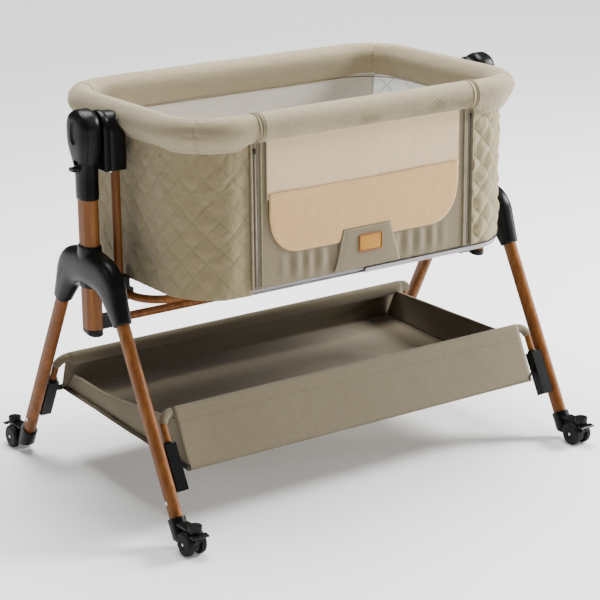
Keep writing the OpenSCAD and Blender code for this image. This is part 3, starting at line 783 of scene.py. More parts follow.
def ring_pad(name, ring, levels, count, material, body):
    """A closed pad inside a ring, from rows that run from its lower middle to its top middle."""
    rows = filled_ring(ring, levels, count)
    flat = [[(p.x, p.y + p.z) for p in row] for row in rows]
    obj = grid_piece(name, rows, material, body,
                     lambda r, c: flat[r][c % count], closed=True)
    source = opened(obj.data)
    bmesh.ops.remove_doubles(source, verts=source.verts, dist=1e-6)
    stored(source, obj.data)
    return obj


under_levels = [(k / 16, basket_low.z + 0.0014) for k in range(17)]
under_levels += [((16 - k) / 16, basket_low.z + 0.0026) for k in range(17)]
under = ring_pad("under_cloth", Ring(WALL.a - 0.004, WALL.b - 0.004, WALL.corner - 0.004),
                 under_levels, 160, TRIM_CLOTH, "cradle")

mattress_low, mattress_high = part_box("mattress")
PAD = Ring(mattress_high.x - 0.001, mattress_high.y - 0.001, 0.096)


def mattress_face(at):
    """Crowned top with soft stitched diamonds."""
    edge = max(abs(at.x) / PAD.a, abs(at.y) / PAD.b)
    crown = 0.006 * (1 - edge ** 4)
    dimple = 0.0022 * (1 - diamonds(at.x, at.y, 0.085)) * (1 - edge ** 6)
    return mattress_high.z - 0.005 + crown - dimple + 0.0006 * ripple(at.x * 14, at.y * 14)


pad_thick = mattress_high.z - 0.005 - mattress_low.z
pad_levels = [(share, mattress_low.z + 0.0003) for share in [k / 12 for k in range(12)] + [0.965]]
for k in range(9):
    turn = math.pi * (k / 8 - 0.5)
    pad_levels.append((0.975 + 0.025 * math.cos(turn),
                       mattress_low.z + pad_thick * (0.5 + 0.5 * math.sin(turn))))
pad_levels += [(share, mattress_face) for share in
               [0.972, 0.955, 0.93] + [0.90 * (1 - k / 44) for k in range(45)]]
mattress = ring_pad("mattress_pad", PAD, pad_levels, 360, MATTRESS_CLOTH, "cradle")
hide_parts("mattress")
piping_path = ring_path(Ring(PAD.a - 0.001, PAD.b - 0.001, 0.096), 0, PAD.length - 0.008,
                        mattress_high.z - 0.006)
tube_piece("mattress_piping", piping_path, 0.0018, MATTRESS_CLOTH, "cradle",
           sides=8, loop=True)


# ---------- zips at the front corners ----------

ZIP_X = 0.2545


def zip_teeth(name, x, side, low, high, body):
    """Small moulded teeth up a tape, one every 2.6 mm."""
    verts, faces = [], []
    for z in spaced(low, high, 0.0026):
        n = len(verts)
        for dx, dy, dz in ((-1, 0, -1), (1, 0, -1), (1, 0, 1), (-1, 0, 1), (-0.7, 1, -0.6),
                           (0.7, 1, -0.6), (0.7, 1, 0.6), (-0.7, 1, 0.6)):
            verts.append((x + side * 0.0004 + dx * 0.0014, -WALL.b + 0.0006 - dy * 0.0012,
                          z + dz * 0.0008))
        for quad in ((4, 5, 6, 7), (0, 1, 5, 4), (1, 2, 6, 5), (2, 3, 7, 6), (3, 0, 4, 7)):
            faces.append([n + q for q in quad])
    add_piece(name, verts, faces, ZIP_TEETH, body)


def zip_corner(side, word):
    """Tapes, teeth, piping and slider of the zip at one end of the front side."""
    low, high = BAND_Z + 0.001, WALL_TOP + 0.002
    for name, x0, x1, body in (("zip_tape_fixed", SPLIT, QUILT_START + 0.002, "cradle"),
                               ("zip_tape_front", 0.2385, DROP_HALF - 0.0002, "drop_side")):
        rows = [[(side * x, -WALL.b + 0.0012 + 0.0003 * ripple(z * 50, x * 90), z)
                 for x in spaced(x0, x1, 0.002)] for z in spaced(low + 0.001, high, 0.006)]
        tape = grid_piece(f"{name}_{word}", rows, ZIP_TAPE, body,
                          lambda r, c: (c * 0.002, r * 0.006), flip=side < 0)
        thicken(tape, 0.0012)
    zip_teeth(f"zip_teeth_{word}", side * ZIP_X, side, low + 0.004, high - 0.012, "cradle")
    for name, x, radius, body in (("zip_piping", 0.2612, 0.0019, "cradle"),
                                  ("front_edge_piping", 0.2405, 0.0014, "drop_side")):
        path = [(side * x, -WALL.b - 0.0002, z) for z in spaced(low + 0.003, high, 0.01)]
        tube_piece(f"{name}_{word}", path, radius, QUILT_CLOTH, body, sides=8)
    slide = [(side * ZIP_X, -WALL.b - 0.0022, high - down) for down in (0.020, 0.016, 0.012)]
    tube_piece(f"zip_slider_{word}", slide, 0.0024, DARK_METAL, "cradle", sides=8)


zip_corner(-1, "left")
zip_corner(1, "right")


# ---------- front side that drops down ----------

panel_low, panel_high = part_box("drop_panel")
FRONT_Y = panel_low.y
FRONT_HALF = 0.2395
FRONT_TOP = 0.722
CLOTH_Y = FRONT_Y + 0.0030
WINDOW_HALF = 0.2285
WINDOW_LOW = 0.606
TAN_HALF = 0.2238
TAN_TOP = 0.618
TAN_LOW = 0.498
TAB_HINGE = 0.4395
TAB_LOW = 0.4415
TAB_TOP = 0.523


def front_layer(name, x0, x1, low, high, skin, material, step=0.004, thickness=0.0011):
    """A layer of the front side. low and high give its edges at x; skin stands it forward."""
    across = spaced(x0, x1, step)
    up = max(4, math.ceil((high(0) - low(0)) / step))
    rows = []
    for r in range(up + 1):
        row = []
        for x in across:
            z = low(x) + (high(x) - low(x)) * r / up
            row.append(Vector((x, CLOTH_Y - skin(x, z), z)))
        rows.append(row)
    flat = [[(p.x, p.z) for p in row] for row in rows]
    obj = grid_piece(name, rows, material, "drop_side", lambda r, c: flat[r][c])
    return thicken(obj, thickness)


def always(value):
    return lambda x: value


def gathers(x, z):
    """Soft folds below the tan panel that fade towards the hinge and the zips."""
    down = max(0.0, min(1.0, (0.512 - z) / 0.03)) * max(0.25, min(1.0, (z - 0.437) / 0.03))
    reach = max(0.0, min(1.0, (0.215 - abs(x)) / 0.05))
    fold = math.sin(2 * math.pi * (abs(x) + 0.010 * ripple(x * 14, seed=21.0)) / 0.031)
    slack = 0.0021 * fold + 0.0016 * ripple(x * 34, z * 8, seed=22.0)
    return 0.0010 + down * reach * (0.0012 + slack) + 0.0004 * ripple(x * 16, z * 16, seed=23.0)


def window_skin(x, z):
    """The mesh window is pulled nearly flat."""
    pull = 0.0011 * ripple(x * 9, z * 7, seed=24.0) + 0.0003 * ripple(x * 60, z * 20, seed=25.0)
    edge = min(1.0, (WINDOW_HALF - abs(x)) / 0.01)
    return 0.0021 + pull * max(0.0, edge) + 0.0006


def tan_low(x):
    """Lower edge of the tan panel, with its rounded corners."""
    past = max(0.0, abs(x) - 0.150) / 0.074
    return TAN_LOW + 0.078 * (1 - math.sqrt(max(0.0, 1 - min(1.0, past) ** 2.4)))


def tan_high(x):
    """Upper edge of the tan panel, which dips a little at its middle."""
    return TAN_TOP - 0.0016 * (1 - (x / 0.224) ** 2) + 0.0008 * ripple(x * 20, seed=26.0)


def tan_skin(x, z):
    """The tan panel stands forward of the window, with a turned upper edge."""
    puff = 0.0016 * ripple(x * 8, z * 10, seed=27.0) + 0.0005 * ripple(x * 40, z * 30, seed=28.0)
    top = max(0.0, 1 - abs(z - (TAN_TOP - 0.006)) / 0.006) * 0.0009
    rim = min(1.0, (z - tan_low(x)) / 0.008)
    return 0.0036 + puff * rim + top + 0.0010 * rim


def tab_half(x_low, x_high):
    """The x of one of the tab's slanting edges at height z."""
    return lambda z: x_low + (x_high - x_low) * (z - TAB_HINGE) / (TAB_TOP - TAB_HINGE)


front = front_layer("front_side_cloth", -FRONT_HALF, FRONT_HALF, always(panel_low.z),
                    always(FRONT_TOP), gathers, BAND_CLOTH)
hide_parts("drop_panel")
window = front_layer("front_mesh_window", -WINDOW_HALF, WINDOW_HALF, always(WINDOW_LOW),
                     always(FRONT_TOP), window_skin, MESH_CLOTH, thickness=0.0009)
tan_panel = front_layer("front_tan_panel", -TAN_HALF, TAN_HALF, tan_low, tan_high, tan_skin,
                        TAN_CLOTH)


def tab_forward(z, edge=1.0):
    """How far the tab stands forward; it lies closer to the panel near the hinge."""
    low = max(0.0, 1 - (z - 0.4410) / 0.016)
    return 0.0058 - 0.0024 * low + 0.0012 * edge * (1 - low)


left_edge, right_edge = tab_half(-0.077, -0.057), tab_half(0.082, 0.057)
tab_rows = []
for z in spaced(TAB_LOW, TAB_TOP, 0.004):
    row = []
    for k in range(29):
        x = left_edge(z) + (right_edge(z) - left_edge(z)) * k / 28
        edge = min(1.0, min(k, 28 - k) / 3, (0.526 - z) / 0.008)
        crease = 0.0008 * ripple(x * 22, z * 14, seed=31.0) * min(1.0, (z - 0.438) / 0.02)
        row.append(Vector((x, CLOTH_Y - (tab_forward(z, edge) + crease), z)))
    tab_rows.append(row)
tab = grid_piece("front_tab", tab_rows, BAND_CLOTH, "drop_side",
                 lambda r, c: (c * 0.005, r * 0.004))
thicken(tab, 0.0016)


def front_path(points, forward):
    """A path on the front side through (x, z) points, standing forward of the panel."""
    path = []
    for (x0, z0), (x1, z1) in zip(points, points[1:]):
        for k in range(12):
            x, z = x0 + (x1 - x0) * k / 12, z0 + (z1 - z0) * k / 12
            path.append((x, CLOTH_Y - forward(x, z), z))
    return path


stitch_piece("tan_panel_stitches",
             [front_path([(-0.221, TAN_TOP - 0.012), (0.221, TAN_TOP - 0.012)],
                         lambda x, z: tan_skin(x, z) + 0.0002),
              front_path([(x, tan_low(x) + 0.004) for x in spaced(-0.219, 0.219, 0.012)],
                         lambda x, z: tan_skin(x, z) + 0.0002)],
             LIGHT_THREAD, "drop_side")
stitch_piece("tab_stitches",
             [front_path([(-0.073, 0.444), (-0.0535, 0.5195), (0.0535, 0.5195), (0.078, 0.444)],
                         lambda x, z: tab_forward(z) + 0.0003)],
             LIGHT_THREAD, "drop_side")
for side, ending in ((-1, ""), (1, "_right")):
    tube_piece(f"window_edge_piping{ending}",
               [(side * WINDOW_HALF, FRONT_Y, z) for z in (0.6, FRONT_TOP)], 0.0010, BAND_CLOTH,
               "drop_side", sides=6)

inner_rows = [[Vector((x, panel_high.y - 0.0006 + 0.0008 * ripple(x * 12, z * 9, seed=33.0), z))
               for x in spaced(-0.2475, 0.2475, 0.008)]
              for z in spaced(panel_low.z + 0.002, FRONT_TOP, 0.008)]
inner = grid_piece("front_side_lining", inner_rows, GREY_MESH, "drop_side",
                   lambda r, c: (c * 0.008, r * 0.008), flip=True)
thicken(inner, 0.0012)


def label():
    """Leather patch with a darker rolled rim; its face is plain."""
    low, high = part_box("label_patch")
    centre = (low + high) / 2
    half_x, half_z = (high.x - low.x) / 2, (high.z - low.z) / 2
    front_y = CLOTH_Y - 0.0078

    def outline(inset, y):
        ring = Ring(half_x - inset, half_z - inset, 0.0030)
        points = []
        for k in range(64):
            spot, _ = ring.at(ring.length * k / 64)
            points.append(Vector((centre.x + spot.x, y, centre.z + spot.y)))
        return points

    levels = [(0.0, front_y + 0.0012), (0.0, front_y), (0.0004, front_y - 0.0006),
              (0.0012, front_y - 0.0009)]
    verts, faces = [], []
    for inset, y in levels:
        verts += outline(inset, y)
    for r in range(len(levels) - 1):
        for c in range(64):
            d = (c + 1) % 64
            faces.append((r * 64 + c, r * 64 + d, (r + 1) * 64 + d, (r + 1) * 64 + c))
    faces.append(list(range(3 * 64, 4 * 64)))
    faces.append(list(reversed(range(64))))
    patch = add_piece("label_leather", verts, faces, LEATHER, "drop_side")
    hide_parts("label_patch")
    tube_piece("label_rim", outline(0.0012, front_y - 0.0008), 0.0013, LEATHER_RIM, "drop_side",
               sides=8, loop=True)
    loop = outline(0.0042, front_y - 0.0010)
    stitch_piece("label_stitches", [loop + loop[:1]], LEATHER_RIM, "drop_side",
                 pitch=0.0032, dash=0.0020, size=0.0003)


label()


# ---------- storage tray ----------

tray_low, tray_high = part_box("storage_tray")
ROD_R = 0.007
LOOP_R = ROD_R + 0.0020
RIM_Z = tray_high.z - ROD_R - 0.0025
LEG_EXIT_Y, LEG_EXIT_Z = 0.118, 0.372    # where a leg's middle line comes out of its hub
ROD_Y = LEG_EXIT_Y + (LEG_EXIT_Z - RIM_Z) * math.tan(LEAN)
TRAY_HALF = tray_high.x
FRONT_FOOT = Vector((0, tray_low.y + 0.0005, tray_low.z + 0.0008))
BACK_FOOT = Vector((0, 0.2305, tray_low.z + 0.0245))
HEM_DROP = 0.015


def tray_profile():
    """The tray's section from hem to hem, as points with the share of the sag each takes."""
    points = []
    for side, foot in ((-1, FRONT_FOOT), (1, BACK_FOOT)):
        part = [(side * (ROD_Y - LOOP_R - 0.0006), RIM_Z - HEM_DROP, 0.0)]
        for k in range(9):
            turn = math.pi * (1 - k / 8)
            part.append((side * (ROD_Y + LOOP_R * math.cos(turn)),
                         RIM_Z + LOOP_R * math.sin(turn), 0.0))
        top_y, top_z = side * (ROD_Y + LOOP_R), RIM_Z
        for k in range(1, 16):
            t = k / 16
            part.append((top_y + (foot.y - top_y) * t, top_z + (foot.z - top_z) * t,
                         math.sin(math.pi * t)))
        points.append(part)
    floor = []
    for k in range(41):
        t = k / 40
        spot = FRONT_FOOT.lerp(BACK_FOOT, t)
        floor.append((spot.y, spot.z, -math.sin(math.pi * t)))
    return points[0] + floor + list(reversed(points[1]))


def tray():
    """The cloth that hangs between the rim rods: sides, floor and stitched hems."""
    profile = tray_profile()
    across = spaced(-TRAY_HALF, TRAY_HALF, 0.0085)
    travelled = [0.0]
    for (y0, z0, _), (y1, z1, _) in zip(profile, profile[1:]):
        travelled.append(travelled[-1] + math.hypot(y1 - y0, z1 - z0))
    rows = []
    for (y, z, sag), v in zip(profile, travelled):
        row = []
        for x in across:
            end = 1 - (abs(x) / TRAY_HALF) ** 6
            wave = ripple(x * 7, v * 9, seed=41.0) + 0.35 * ripple(x * 30, v * 22, seed=42.0)
            if sag < 0:
                drop = -0.0035 * sag * end + 0.0014 * wave * min(1.0, -4 * sag)
                row.append(Vector((x, y, z + 0.0006 - drop)))
            else:
                bow = 0.0020 * sag * end + 0.0018 * wave * sag
                row.append(Vector((x, y - math.copysign(bow, y), z)))
        rows.append(row)
    obj = grid_piece("tray_sling", rows, TRAY_CLOTH, "stand",
                     lambda r, c: (across[c], travelled[r]), flip=True)
    thicken(obj, 0.0014, offset=0.0)
    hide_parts("storage_tray")
    hems = []
    for side in (-1, 1):
        y = side * (ROD_Y + LOOP_R + (HEM_DROP * math.tan(LEAN)) - 0.001)
        hems.append([(x, y + side * 0.0018, RIM_Z - HEM_DROP)
                     for x in spaced(-TRAY_HALF + 0.004, TRAY_HALF - 0.004, 0.02)])
    stitch_piece("tray_hem_stitches", hems, DARK_THREAD, "stand")


def tray_end(side, word, top_at):
    """One end of the tray. top_at(share) is its top's height from front, 0, to back, 1."""
    x_end = side * (TRAY_HALF - 0.012)
    rows = []
    steps = 48
    for r in range(15):
        t = r / 14
        row = []
        for k in range(steps + 1):
            u = k / steps
            low = FRONT_FOOT.lerp(BACK_FOOT, u) + Vector((0, 0.0015 * (1 - 2 * u), 0.0012))
            top = Vector((0, -ROD_Y - 0.001 + (2 * ROD_Y + 0.002) * u, top_at(u)))
            spot = low.lerp(top, t)
            flap = 0.004 * math.sin(math.pi * t) * math.sin(math.pi * u)
            wave = 0.0016 * ripple(u * 5, t * 2, seed=43.0 + side)
            spot.x = x_end + side * (flap + wave * math.sin(math.pi * u))
            row.append(spot)
        rows.append(row)
    flat = [[(p.y, p.z) for p in row] for row in rows]
    obj = grid_piece(f"tray_end_{word}", rows, TRAY_CLOTH, "stand",
                     lambda r, c: flat[r][c], flip=side < 0)
    thicken(obj, 0.0014, offset=0.0)
    edge = [p + Vector((0, 0, 0.0002)) for p in rows[-1]]
    tube_piece(f"tray_end_binding_{word}", edge, 0.0022, BINDING, "stand",
               sides=8)


def tray_strap(side, depth, word):
    """A flat strap from the tray's lower corner up to the rod bracket."""
    foot = FRONT_FOOT if depth < 0 else BACK_FOOT
    start = Vector((side * (TRAY_HALF - 0.006), foot.y, foot.z + 0.004))
    end = Vector((side * 0.4465, depth * (ROD_Y + 0.052 * math.tan(LEAN) + 0.001), RIM_Z - 0.060))
    rows = []
    for k in range(13):
        t = k / 12
        spot = start.lerp(end, t)
        spot.z -= 0.005 * math.sin(math.pi * t)
        rows.append([spot + Vector((0, 0, h)) for h in (-0.006, -0.002, 0.002, 0.006)])
    obj = grid_piece(f"tray_strap_{word}", rows, DARK_THREAD, "stand",
                     lambda r, c: (r * 0.01, c * 0.004))
    thicken(obj, 0.0014, offset=0.0)


def tray_corner(side, depth, word):
    """The tray's hem goes on round the rod where it bends down towards its bracket."""
    bend, middle = 0.022, 0.4225
    path = [Vector((side * (TRAY_HALF - 0.003), depth * ROD_Y, RIM_Z))]
    for k in range(9):
        turn = math.radians(72) * k / 8
        down = bend * (1 - math.cos(turn))
        path.append(Vector((side * (middle + bend * math.sin(turn)),
                            depth * (ROD_Y + down * math.sin(LEAN)), RIM_Z - down * math.cos(LEAN))))
    cover = tube_piece(f"tray_corner_{word}", path, 0.0088, TRAY_CLOTH, "stand",
                       sides=20)


tray()
tray_end(1, "right", lambda u: RIM_Z - 0.013)
tray_end(-1, "left", lambda u: RIM_Z - 0.030 - 0.004 * math.sin(math.pi * u)
         + 0.010 * math.cos(math.pi * min(1, 1.25 * u)))
for depth_word, depth in (("front", -1), ("back", 1)):
    for side_word, side in (("left", -1), ("right", 1)):
        tray_strap(side, depth, f"{depth_word}_{side_word}")
        tray_corner(side, depth, f"{depth_word}_{side_word}")


# ---------- moulded shells ----------

def section(centre, across, upward, half_across, half_up, power, count=40):
    """A rounded oblong round a centre point; a higher power gives squarer sides."""
    points = []
    for k in range(count):
        turn = 2 * math.pi * k / count
        c, s = math.cos(turn), math.sin(turn)
        a = math.copysign(abs(c) ** (2 / power), c) * half_across
        b = math.copysign(abs(s) ** (2 / power), s) * half_up
        points.append(centre + across * a + upward * b)
    return points


def loft(target, rings):
    """Adds a closed skin over rings of points to a bmesh."""
    layers = [[target.verts.new(p) for p in ring] for ring in rings]
    for low, high in zip(layers, layers[1:]):
        for k in range(len(low)):
            j = (k + 1) % len(low)
            target.faces.new((low[k], low[j], high[j], high[k]))
    target.faces.new(layers[0])
    target.faces.new(layers[-1])


def mesh_object(name, source):
    """A helper object for modifiers to work on, made from a bmesh."""
    return new_object(name, stored(source, bpy.data.meshes.new(name)))


def bake(obj):
    """Replaces the mesh by the result of its modifiers."""
    graph = bpy.context.evaluated_depsgraph_get()
    mesh = bpy.data.meshes.new_from_object(obj.evaluated_get(graph))
    obj.modifiers.clear()
    obj.data = mesh


def melt(obj, voxel, rounds):
    """Unites overlapping shells into one skin and softens its joins."""
    remesh = obj.modifiers.new("union", "REMESH")
    remesh.mode = "VOXEL"
    remesh.voxel_size = voxel
    smooth = obj.modifiers.new("soften", "SMOOTH")
    smooth.factor = 0.5
    smooth.iterations = rounds
    bake(obj)


def cut(obj, cutters):
    """Takes the cutters' volume out of obj."""
    for cutter in cutters:
        step = obj.modifiers.new("cut", "BOOLEAN")
        step.operation = "DIFFERENCE"
        step.solver = "EXACT"
        step.object = cutter
    bake(obj)
    for cutter in cutters:
        bpy.data.objects.remove(cutter)


def prism(name, rings):
    """An object with a closed skin over rings of points."""
    source = bmesh.new()
    loft(source, rings)
    return mesh_object(name, source)


def taken(obj):
    """Removes a helper object and gives its mesh."""
    mesh = obj.data
    bpy.data.objects.remove(obj)
    return mesh


def shell_piece(name, mesh, body, replaced):
    """A black moulding that rides on a body and shows in place of a CAD node."""
    obj = new_object(name, mesh)
    mesh.polygons.foreach_set("use_smooth", [True] * len(mesh.polygons))
    mesh.set_sharp_from_angle(angle=math.radians(38))
    paint(obj, BLACK)
    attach(obj, body)
    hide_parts(replaced)


def mirrored(mesh):
    """A copy of a mesh for the other end of the bassinet."""
    copy = mesh.copy()
    flipped = opened(copy)
    for vert in flipped.verts:
        vert.co.x = -vert.co.x
    bmesh.ops.reverse_faces(flipped, faces=flipped.faces)
    flipped.to_mesh(copy)
    flipped.free()
    return copy


def both_ends(name, mesh, body, node):
    """The same moulding at the right end and, mirrored, at the left. {} in body is the end."""
    for word, shape in (("left", mirrored(mesh)), ("right", mesh)):
        shell_piece(f"{name}_{word}", shape, body.format(word), f"{node}_{word}")


POST_X = 0.470
COVER_FOOT = 0.6690
X, Y, Z = Vector((1, 0, 0)), Vector((0, 1, 0)), Vector((0, 0, 1))


def polyline_at(points, share):
    """Point at a share of the length of a line through points."""
    spans = [(b - a).length for a, b in zip(points, points[1:])]
    left = share * sum(spans)
    for a, b, span in zip(points, points[1:], spans):
        if left <= span:
            return a.lerp(b, left / span)
        left -= span
    return points[-1]


def arc_line(y, z, radius, start, end):
    """Points round an arc in the plane of the legs, from start down to end degrees."""
    points = []
    for degrees in spaced(end, start, 4):
        turn = math.radians(degrees)
        points.append(Vector((POST_X, y + radius * math.cos(turn), z + radius * math.sin(turn))))
    return points[::-1]


def hub_shell():
    """Domed joint that takes the post and two legs."""
    arch_z, top_z = 0.428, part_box("hub_right")[1].z
    mouth = Vector((POST_X, 0.1140, 0.3796))
    square = Vector((0, math.cos(LEAN), math.sin(LEAN)))
    down = Vector((0, math.sin(LEAN), -math.cos(LEAN)))
    lower = [Vector((POST_X, 0, arch_z))] + arc_line(0.020, arch_z - 0.060, 0.060, 90, 47)
    lower.append(mouth - square * 0.0165)
    upper = [Vector((POST_X, 0, 0.503)), Vector((POST_X, 0.024, 0.503))]
    upper += arc_line(0.045, 0.430, 0.0675, 78, 10) + [mouth + square * 0.0165]
    source = bmesh.new()
    for front in (1, -1):
        rings = []
        for k in range(29):
            t = k / 28
            low, high = polyline_at(lower, t), polyline_at(upper, t)
            thick = 0.0218 - 0.0053 * t ** 1.5
            upward = (high - low).normalized()
            rings.append(section((low + high) / 2, X, upward, thick, (high - low).length / 2,
                                 2.7 + 0.3 * t))
        for shift, size in ((0.0006, 0.985), (0.0012, 0.95), (0.0014, 0.88)):
            rings.append(section(mouth + down * shift, X, square, 0.0165 * size,
                                 0.0165 * size, 3.0))
        for ring in rings:
            for point in ring:
                point.y *= front
        rings[0] = [p - Y * 0.004 * front for p in rings[0]]
        loft(source, rings)
    levels = ((0.445, 0.0200, 0.0270), (0.490, 0.0204, 0.0276), (0.500, 0.0203, 0.0274),
              (top_z - 0.0022, 0.0200, 0.0270), (top_z - 0.0006, 0.0196, 0.0266),
              (top_z, 0.0188, 0.0258))
    loft(source, [section(Vector((POST_X, 0, z)), X, Y, w, d, 2.3) for z, w, d in levels])
    knob = Vector((POST_X - 0.018, 0.008, top_z - 0.012))
    loft(source, [section(knob - X * d, Y, Z, size, size, 2.0, 24)
                  for d, size in ((0, 0.0052), (0.0085, 0.0050), (0.0098, 0.0040))])
    hub = mesh_object("hub_shell", source)
    melt(hub, 0.0016, 16)
    bore = [section(Vector((POST_X, 0, z)), X, Y, 0.0186, 0.0256, 2.25, 64)
            for z in (0.36, 0.52)]
    cutters = [prism("bore", bore)]
    for side in (-1, 1):
        for front in (-1, 1):
            line = [(0.074, 0.452), (0.098, 0.424), (0.112, 0.394), (0.116, 0.374)]
            rings = []
            for y, z in line:
                rings.append(section(Vector((POST_X + side * 0.0212, front * y, z)), X, Y,
                                     0.0030, 0.0009, 2.0, 12))
            cutters.append(prism("groove", rings))
    cut(hub, cutters)
    both_ends("leg_hub", taken(hub), "stand", "hub")


def keep_below(source, at, normal):
    """Cuts a bmesh at a plane, keeps what lies against the normal, and closes the cut."""
    everything = list(source.verts) + list(source.edges) + list(source.faces)
    bmesh.ops.bisect_plane(source, geom=everything, plane_co=at, plane_no=normal,
                           clear_outer=True)
    fill_holes(source)


def head_shells():
    """Post head and its outer cover, parted by a thin line parallel to the face."""
    low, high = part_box("head_right")
    pivot_z, radius = high.z - 0.0375, 0.0375
    inner, outer = low.x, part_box("head_cover_right")[1].x
    collar_w, collar_d = 0.0190, 0.0260
    rings = []
    heights = spaced(low.z, 0.668, 0.010) + spaced(0.672, pivot_z, 0.006)
    heights += [pivot_z + radius * math.sin(math.pi / 2 * k / 16) for k in range(1, 17)]
    for z in heights:
        grow = max(0.0, min(1.0, (z - 0.640) / 0.075))
        grow = grow * grow * (3 - 2 * grow)
        half_y = collar_d + (radius - collar_d) * grow
        x0 = POST_X - collar_w + (inner - POST_X + collar_w) * grow
        x1 = POST_X + collar_w + (outer - POST_X - collar_w) * grow
        power = 2.3 + 1.1 * grow
        if z > pivot_z:
            up = (z - pivot_z) / radius
            half_y = radius * math.sqrt(max(0.0, 1 - up * up)) + 0.0002
            thin = 1 - 0.5 * up ** 5
            middle = (x0 + x1) / 2
            x0, x1 = middle + (x0 - middle) * thin, middle + (x1 - middle) * thin
        if z < low.z + 0.001:
            half_y -= 0.0008
        rings.append(section(Vector(((x0 + x1) / 2, 0, z)), X, Y, (x1 - x0) / 2, half_y, power,
                             56))
    source = bmesh.new()
    loft(source, rings)
    head = mesh_object("head_shell", source)
    melt(head, 0.0016, 7)
    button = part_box("swing_button_right")
    middle = (button[0] + button[1]) / 2
    half_y, half_z = (button[1].y - button[0].y) / 2 + 0.0006, (button[1].z - button[0].z) / 2
    recess = [section(Vector((x, 0, middle.z)), Y, Z, half_y + grow, half_z + 0.0006 + grow, 2.4, 48)
              for x, grow in ((outer - 0.008, 0.0), (outer - 0.0012, 0.0), (outer + 0.001, 0.0018),
                              (outer + 0.01, 0.0018))]
    lever_low, lever_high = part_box("height_lever_right")
    slot = [section(Vector((POST_X + d, 0, (lever_low.z + lever_high.z) / 2 + 0.004)), Y, Z, 0.0098,
                    0.0120, 6.0, 32) for d in (0.0165, 0.05)]
    cut(head, [prism("recess", recess), prism("slot", slot)])
    parting = POST_X + 0.0142
    collar = opened(head.data)
    keep_below(collar, (0, 0, COVER_FOOT - 0.0005), (0, 0, 1))
    inner_half = opened(head.data)
    keep_below(inner_half, (parting - 0.0004, 0, 0), (1, 0, 0))
    inner_half.from_mesh(stored(collar, bpy.data.meshes.new("collar")))
    both_ends("post_head", stored(inner_half, bpy.data.meshes.new("post_head")), "lift", "head")
    outer_half = opened(head.data)
    keep_below(outer_half, (parting + 0.0004, 0, 0), (-1, 0, 0))
    keep_below(outer_half, (0, 0, COVER_FOOT + 0.0005), (0, 0, -1))
    both_ends("post_head_cover", stored(outer_half, bpy.data.meshes.new("post_head_cover")),
              "lift", "head_cover")
    bpy.data.objects.remove(head)


def bracket_shell():
    """Stepped bracket that hugs the rail sleeve, with a rounded cheek beside the head."""
    low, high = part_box("rail_bracket_right")
    half, foot = high.y, low.z
    pivot_z = high.z - half
    cheek_in = high.x - 0.0135
    source = bmesh.new()
    rings = []
    for z in spaced(foot, high.z - 0.004, 0.004):
        down = (RAIL_Z - z) / (SLEEVE_R + 0.0014)
        clear = RAIL.a + (SLEEVE_R + 0.0014) * math.sqrt(max(0.0, 1 - down * down))
        x0 = max(low.x, clear) if z > foot + 0.04 else low.x
        wide = half - 0.0005
        if z > pivot_z:
            wide = math.sqrt(max(1e-6, (half - 0.002) ** 2 - (z - pivot_z) ** 2))
        mid, reach = (x0 + cheek_in + 0.002) / 2, (cheek_in + 0.002 - x0) / 2
        rings.append(section(Vector((mid, 0, z)), X, Y, reach, wide, 6.0, 64))
    loft(source, rings)
    centre = []
    for x, inset in ((cheek_in, 0.0035), (cheek_in + 0.0015, 0.0010), (cheek_in + 0.004, 0.0),
                     (high.x - 0.003, 0.0), (high.x - 0.0008, 0.0012), (high.x, 0.0035)):
        ring = []
        for k in range(33):
            turn = math.pi * k / 32
            ring.append(Vector((x, (half - inset) * math.cos(turn),
                                pivot_z + (half - inset) * math.sin(turn))))
        for y in (-1, 1):
            ring.append(Vector((x, y * (half - inset), foot + inset)))
        centre.append(ring)
    loft(source, centre)
    bracket = mesh_object("bracket_shell", source)
    melt(bracket, 0.0016, 3)
    both_ends("rail_bracket_shell", taken(bracket), "cradle", "rail_bracket")


def button_shell():
    """Oval push button with a dished face."""
    low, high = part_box("swing_button_right")
    centre = (low + high) / 2
    half_y, half_z = (high.y - low.y) / 2, (high.z - low.z) / 2
    source = bmesh.new()
    rings = []
    for x, size in ((low.x, 1.0), (high.x - 0.0012, 1.0), (high.x - 0.0003, 0.95),
                    (high.x - 0.0004, 0.88), (high.x - 0.0016, 0.80), (high.x - 0.0026, 0.62),
                    (high.x - 0.0030, 0.35)):
        rings.append(section(Vector((x, 0, centre.z)), Y, Z, half_y * size,
                             half_z - half_y * (1 - size), 2.4, 48))
    loft(source, rings)
    both_ends("swing_button_dish", stored(source, bpy.data.meshes.new("button_shell")),
              "swing_button_{}", "swing_button")


def soften_edges(node, width, segments=3):
    """Rounds a CAD node's sharp edges without changing its mesh."""
    obj = NODES[node]
    weld = obj.modifiers.new("weld", "WELD")
    weld.merge_threshold = 1e-5
    bevel = obj.modifiers.new("rounded edges", "BEVEL")
    bevel.width = width
    bevel.segments = segments
    bevel.limit_method = "ANGLE"
    bevel.angle_limit = math.radians(40)
    bevel.harden_normals = True


hub_shell()
head_shells()
bracket_shell()
button_shell()
for node in NODES:
    if node.startswith(("foot", "upright_clamps", "storage_brackets", "stretcher_clamps")):
        soften_edges(node, 0.0018)
    elif node.startswith(("castor", "pedal", "height_lever", "post_caps")):
        soften_edges(node, 0.0008)


# ---------- stage ----------

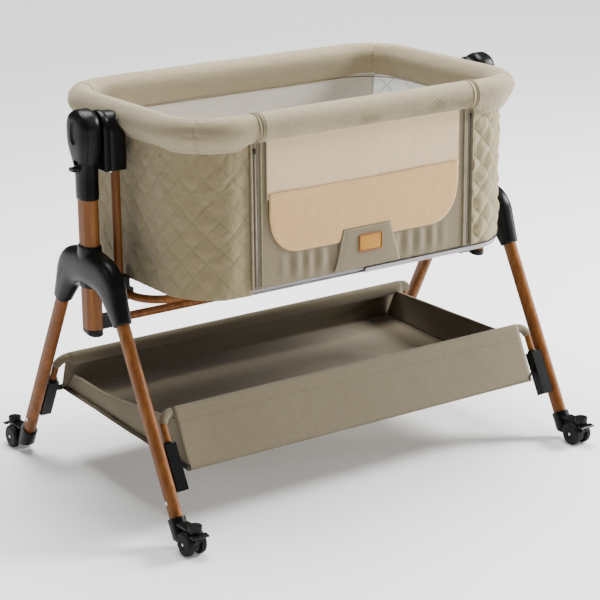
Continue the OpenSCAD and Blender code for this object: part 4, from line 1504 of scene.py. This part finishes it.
def camera():
    """The camera that was fitted to the photo."""
    data = bpy.data.cameras.new("camera")
    data.lens = 121.59
    cam = new_object("camera", data)
    azimuth, elevation, roll = math.radians(-34.97), math.radians(17.24), math.radians(-0.51)
    forward = Vector((-math.sin(azimuth) * math.cos(elevation),
                      math.cos(azimuth) * math.cos(elevation), -math.sin(elevation)))
    right = Vector((math.cos(azimuth), math.sin(azimuth), 0))
    up = right.cross(forward)
    turned = right * math.cos(roll) + up * math.sin(roll)
    upright = up * math.cos(roll) - right * math.sin(roll)
    pose = Matrix((turned, upright, -forward)).transposed().to_4x4()
    pose.translation = (-2.2465, -3.2272, 1.5333)
    cam.matrix_world = pose
    data.clip_end = 50
    bpy.context.scene.camera = cam


def area_light(name, spot, target, size, watts):
    """A round soft light at spot that faces target."""
    data = bpy.data.lights.new(name, "AREA")
    data.shape = "DISK"
    data.size = size
    data.energy = watts
    lamp = new_object(name, data)
    lamp.location = spot
    lamp.rotation_euler = (Vector(target) - Vector(spot)).to_track_quat("-Z", "Y").to_euler()


def studio():
    """A white floor that glows more with distance, a dim sky and four lamps."""
    mesh = bpy.data.meshes.new("floor")
    mesh.from_pydata([(-30, -30, 0), (30, -30, 0), (30, 30, 0), (-30, 30, 0)], [],
                     [(0, 1, 2, 3)])
    floor = new_object("floor", mesh)
    s = Shader("studio floor", 0.95, spec=0.1)
    s.set(s.bsdf, **{"Base Color": (0.95, 0.95, 0.95, 1), "Emission Color": (1, 1, 1, 1)})
    reach = s.add("ShaderNodeVectorMath", operation="LENGTH")
    s.link(s.place(), reach.inputs[0])
    glow = s.span(reach.outputs["Value"], 0.17, 1.28, start=0.6, end=5.5)
    s.link(glow, s.bsdf.inputs["Emission Strength"])
    paint(floor, s.mat)
    world = bpy.data.worlds.new("studio")
    world.use_nodes = True
    sky = world.node_tree.nodes["Background"]
    sky.inputs["Color"].default_value = (1, 1, 1, 1)
    sky.inputs["Strength"].default_value = 0.10
    bpy.context.scene.world = world
    area_light("key", (3.5, -1.25, 2.7), (0, 0, 0.45), 1.5, 350)
    area_light("top", (0.2, 0.6, 3.4), (0, 0, 0.4), 2.4, 250)
    area_light("low fill", (3.2, -1.6, 0.75), (0, 0.1, 0.25), 0.9, 55)
    area_light("left rim", (-2.8, 0.6, 1.6), (-0.3, 0, 0.5), 0.8, 7)


camera()
studio()
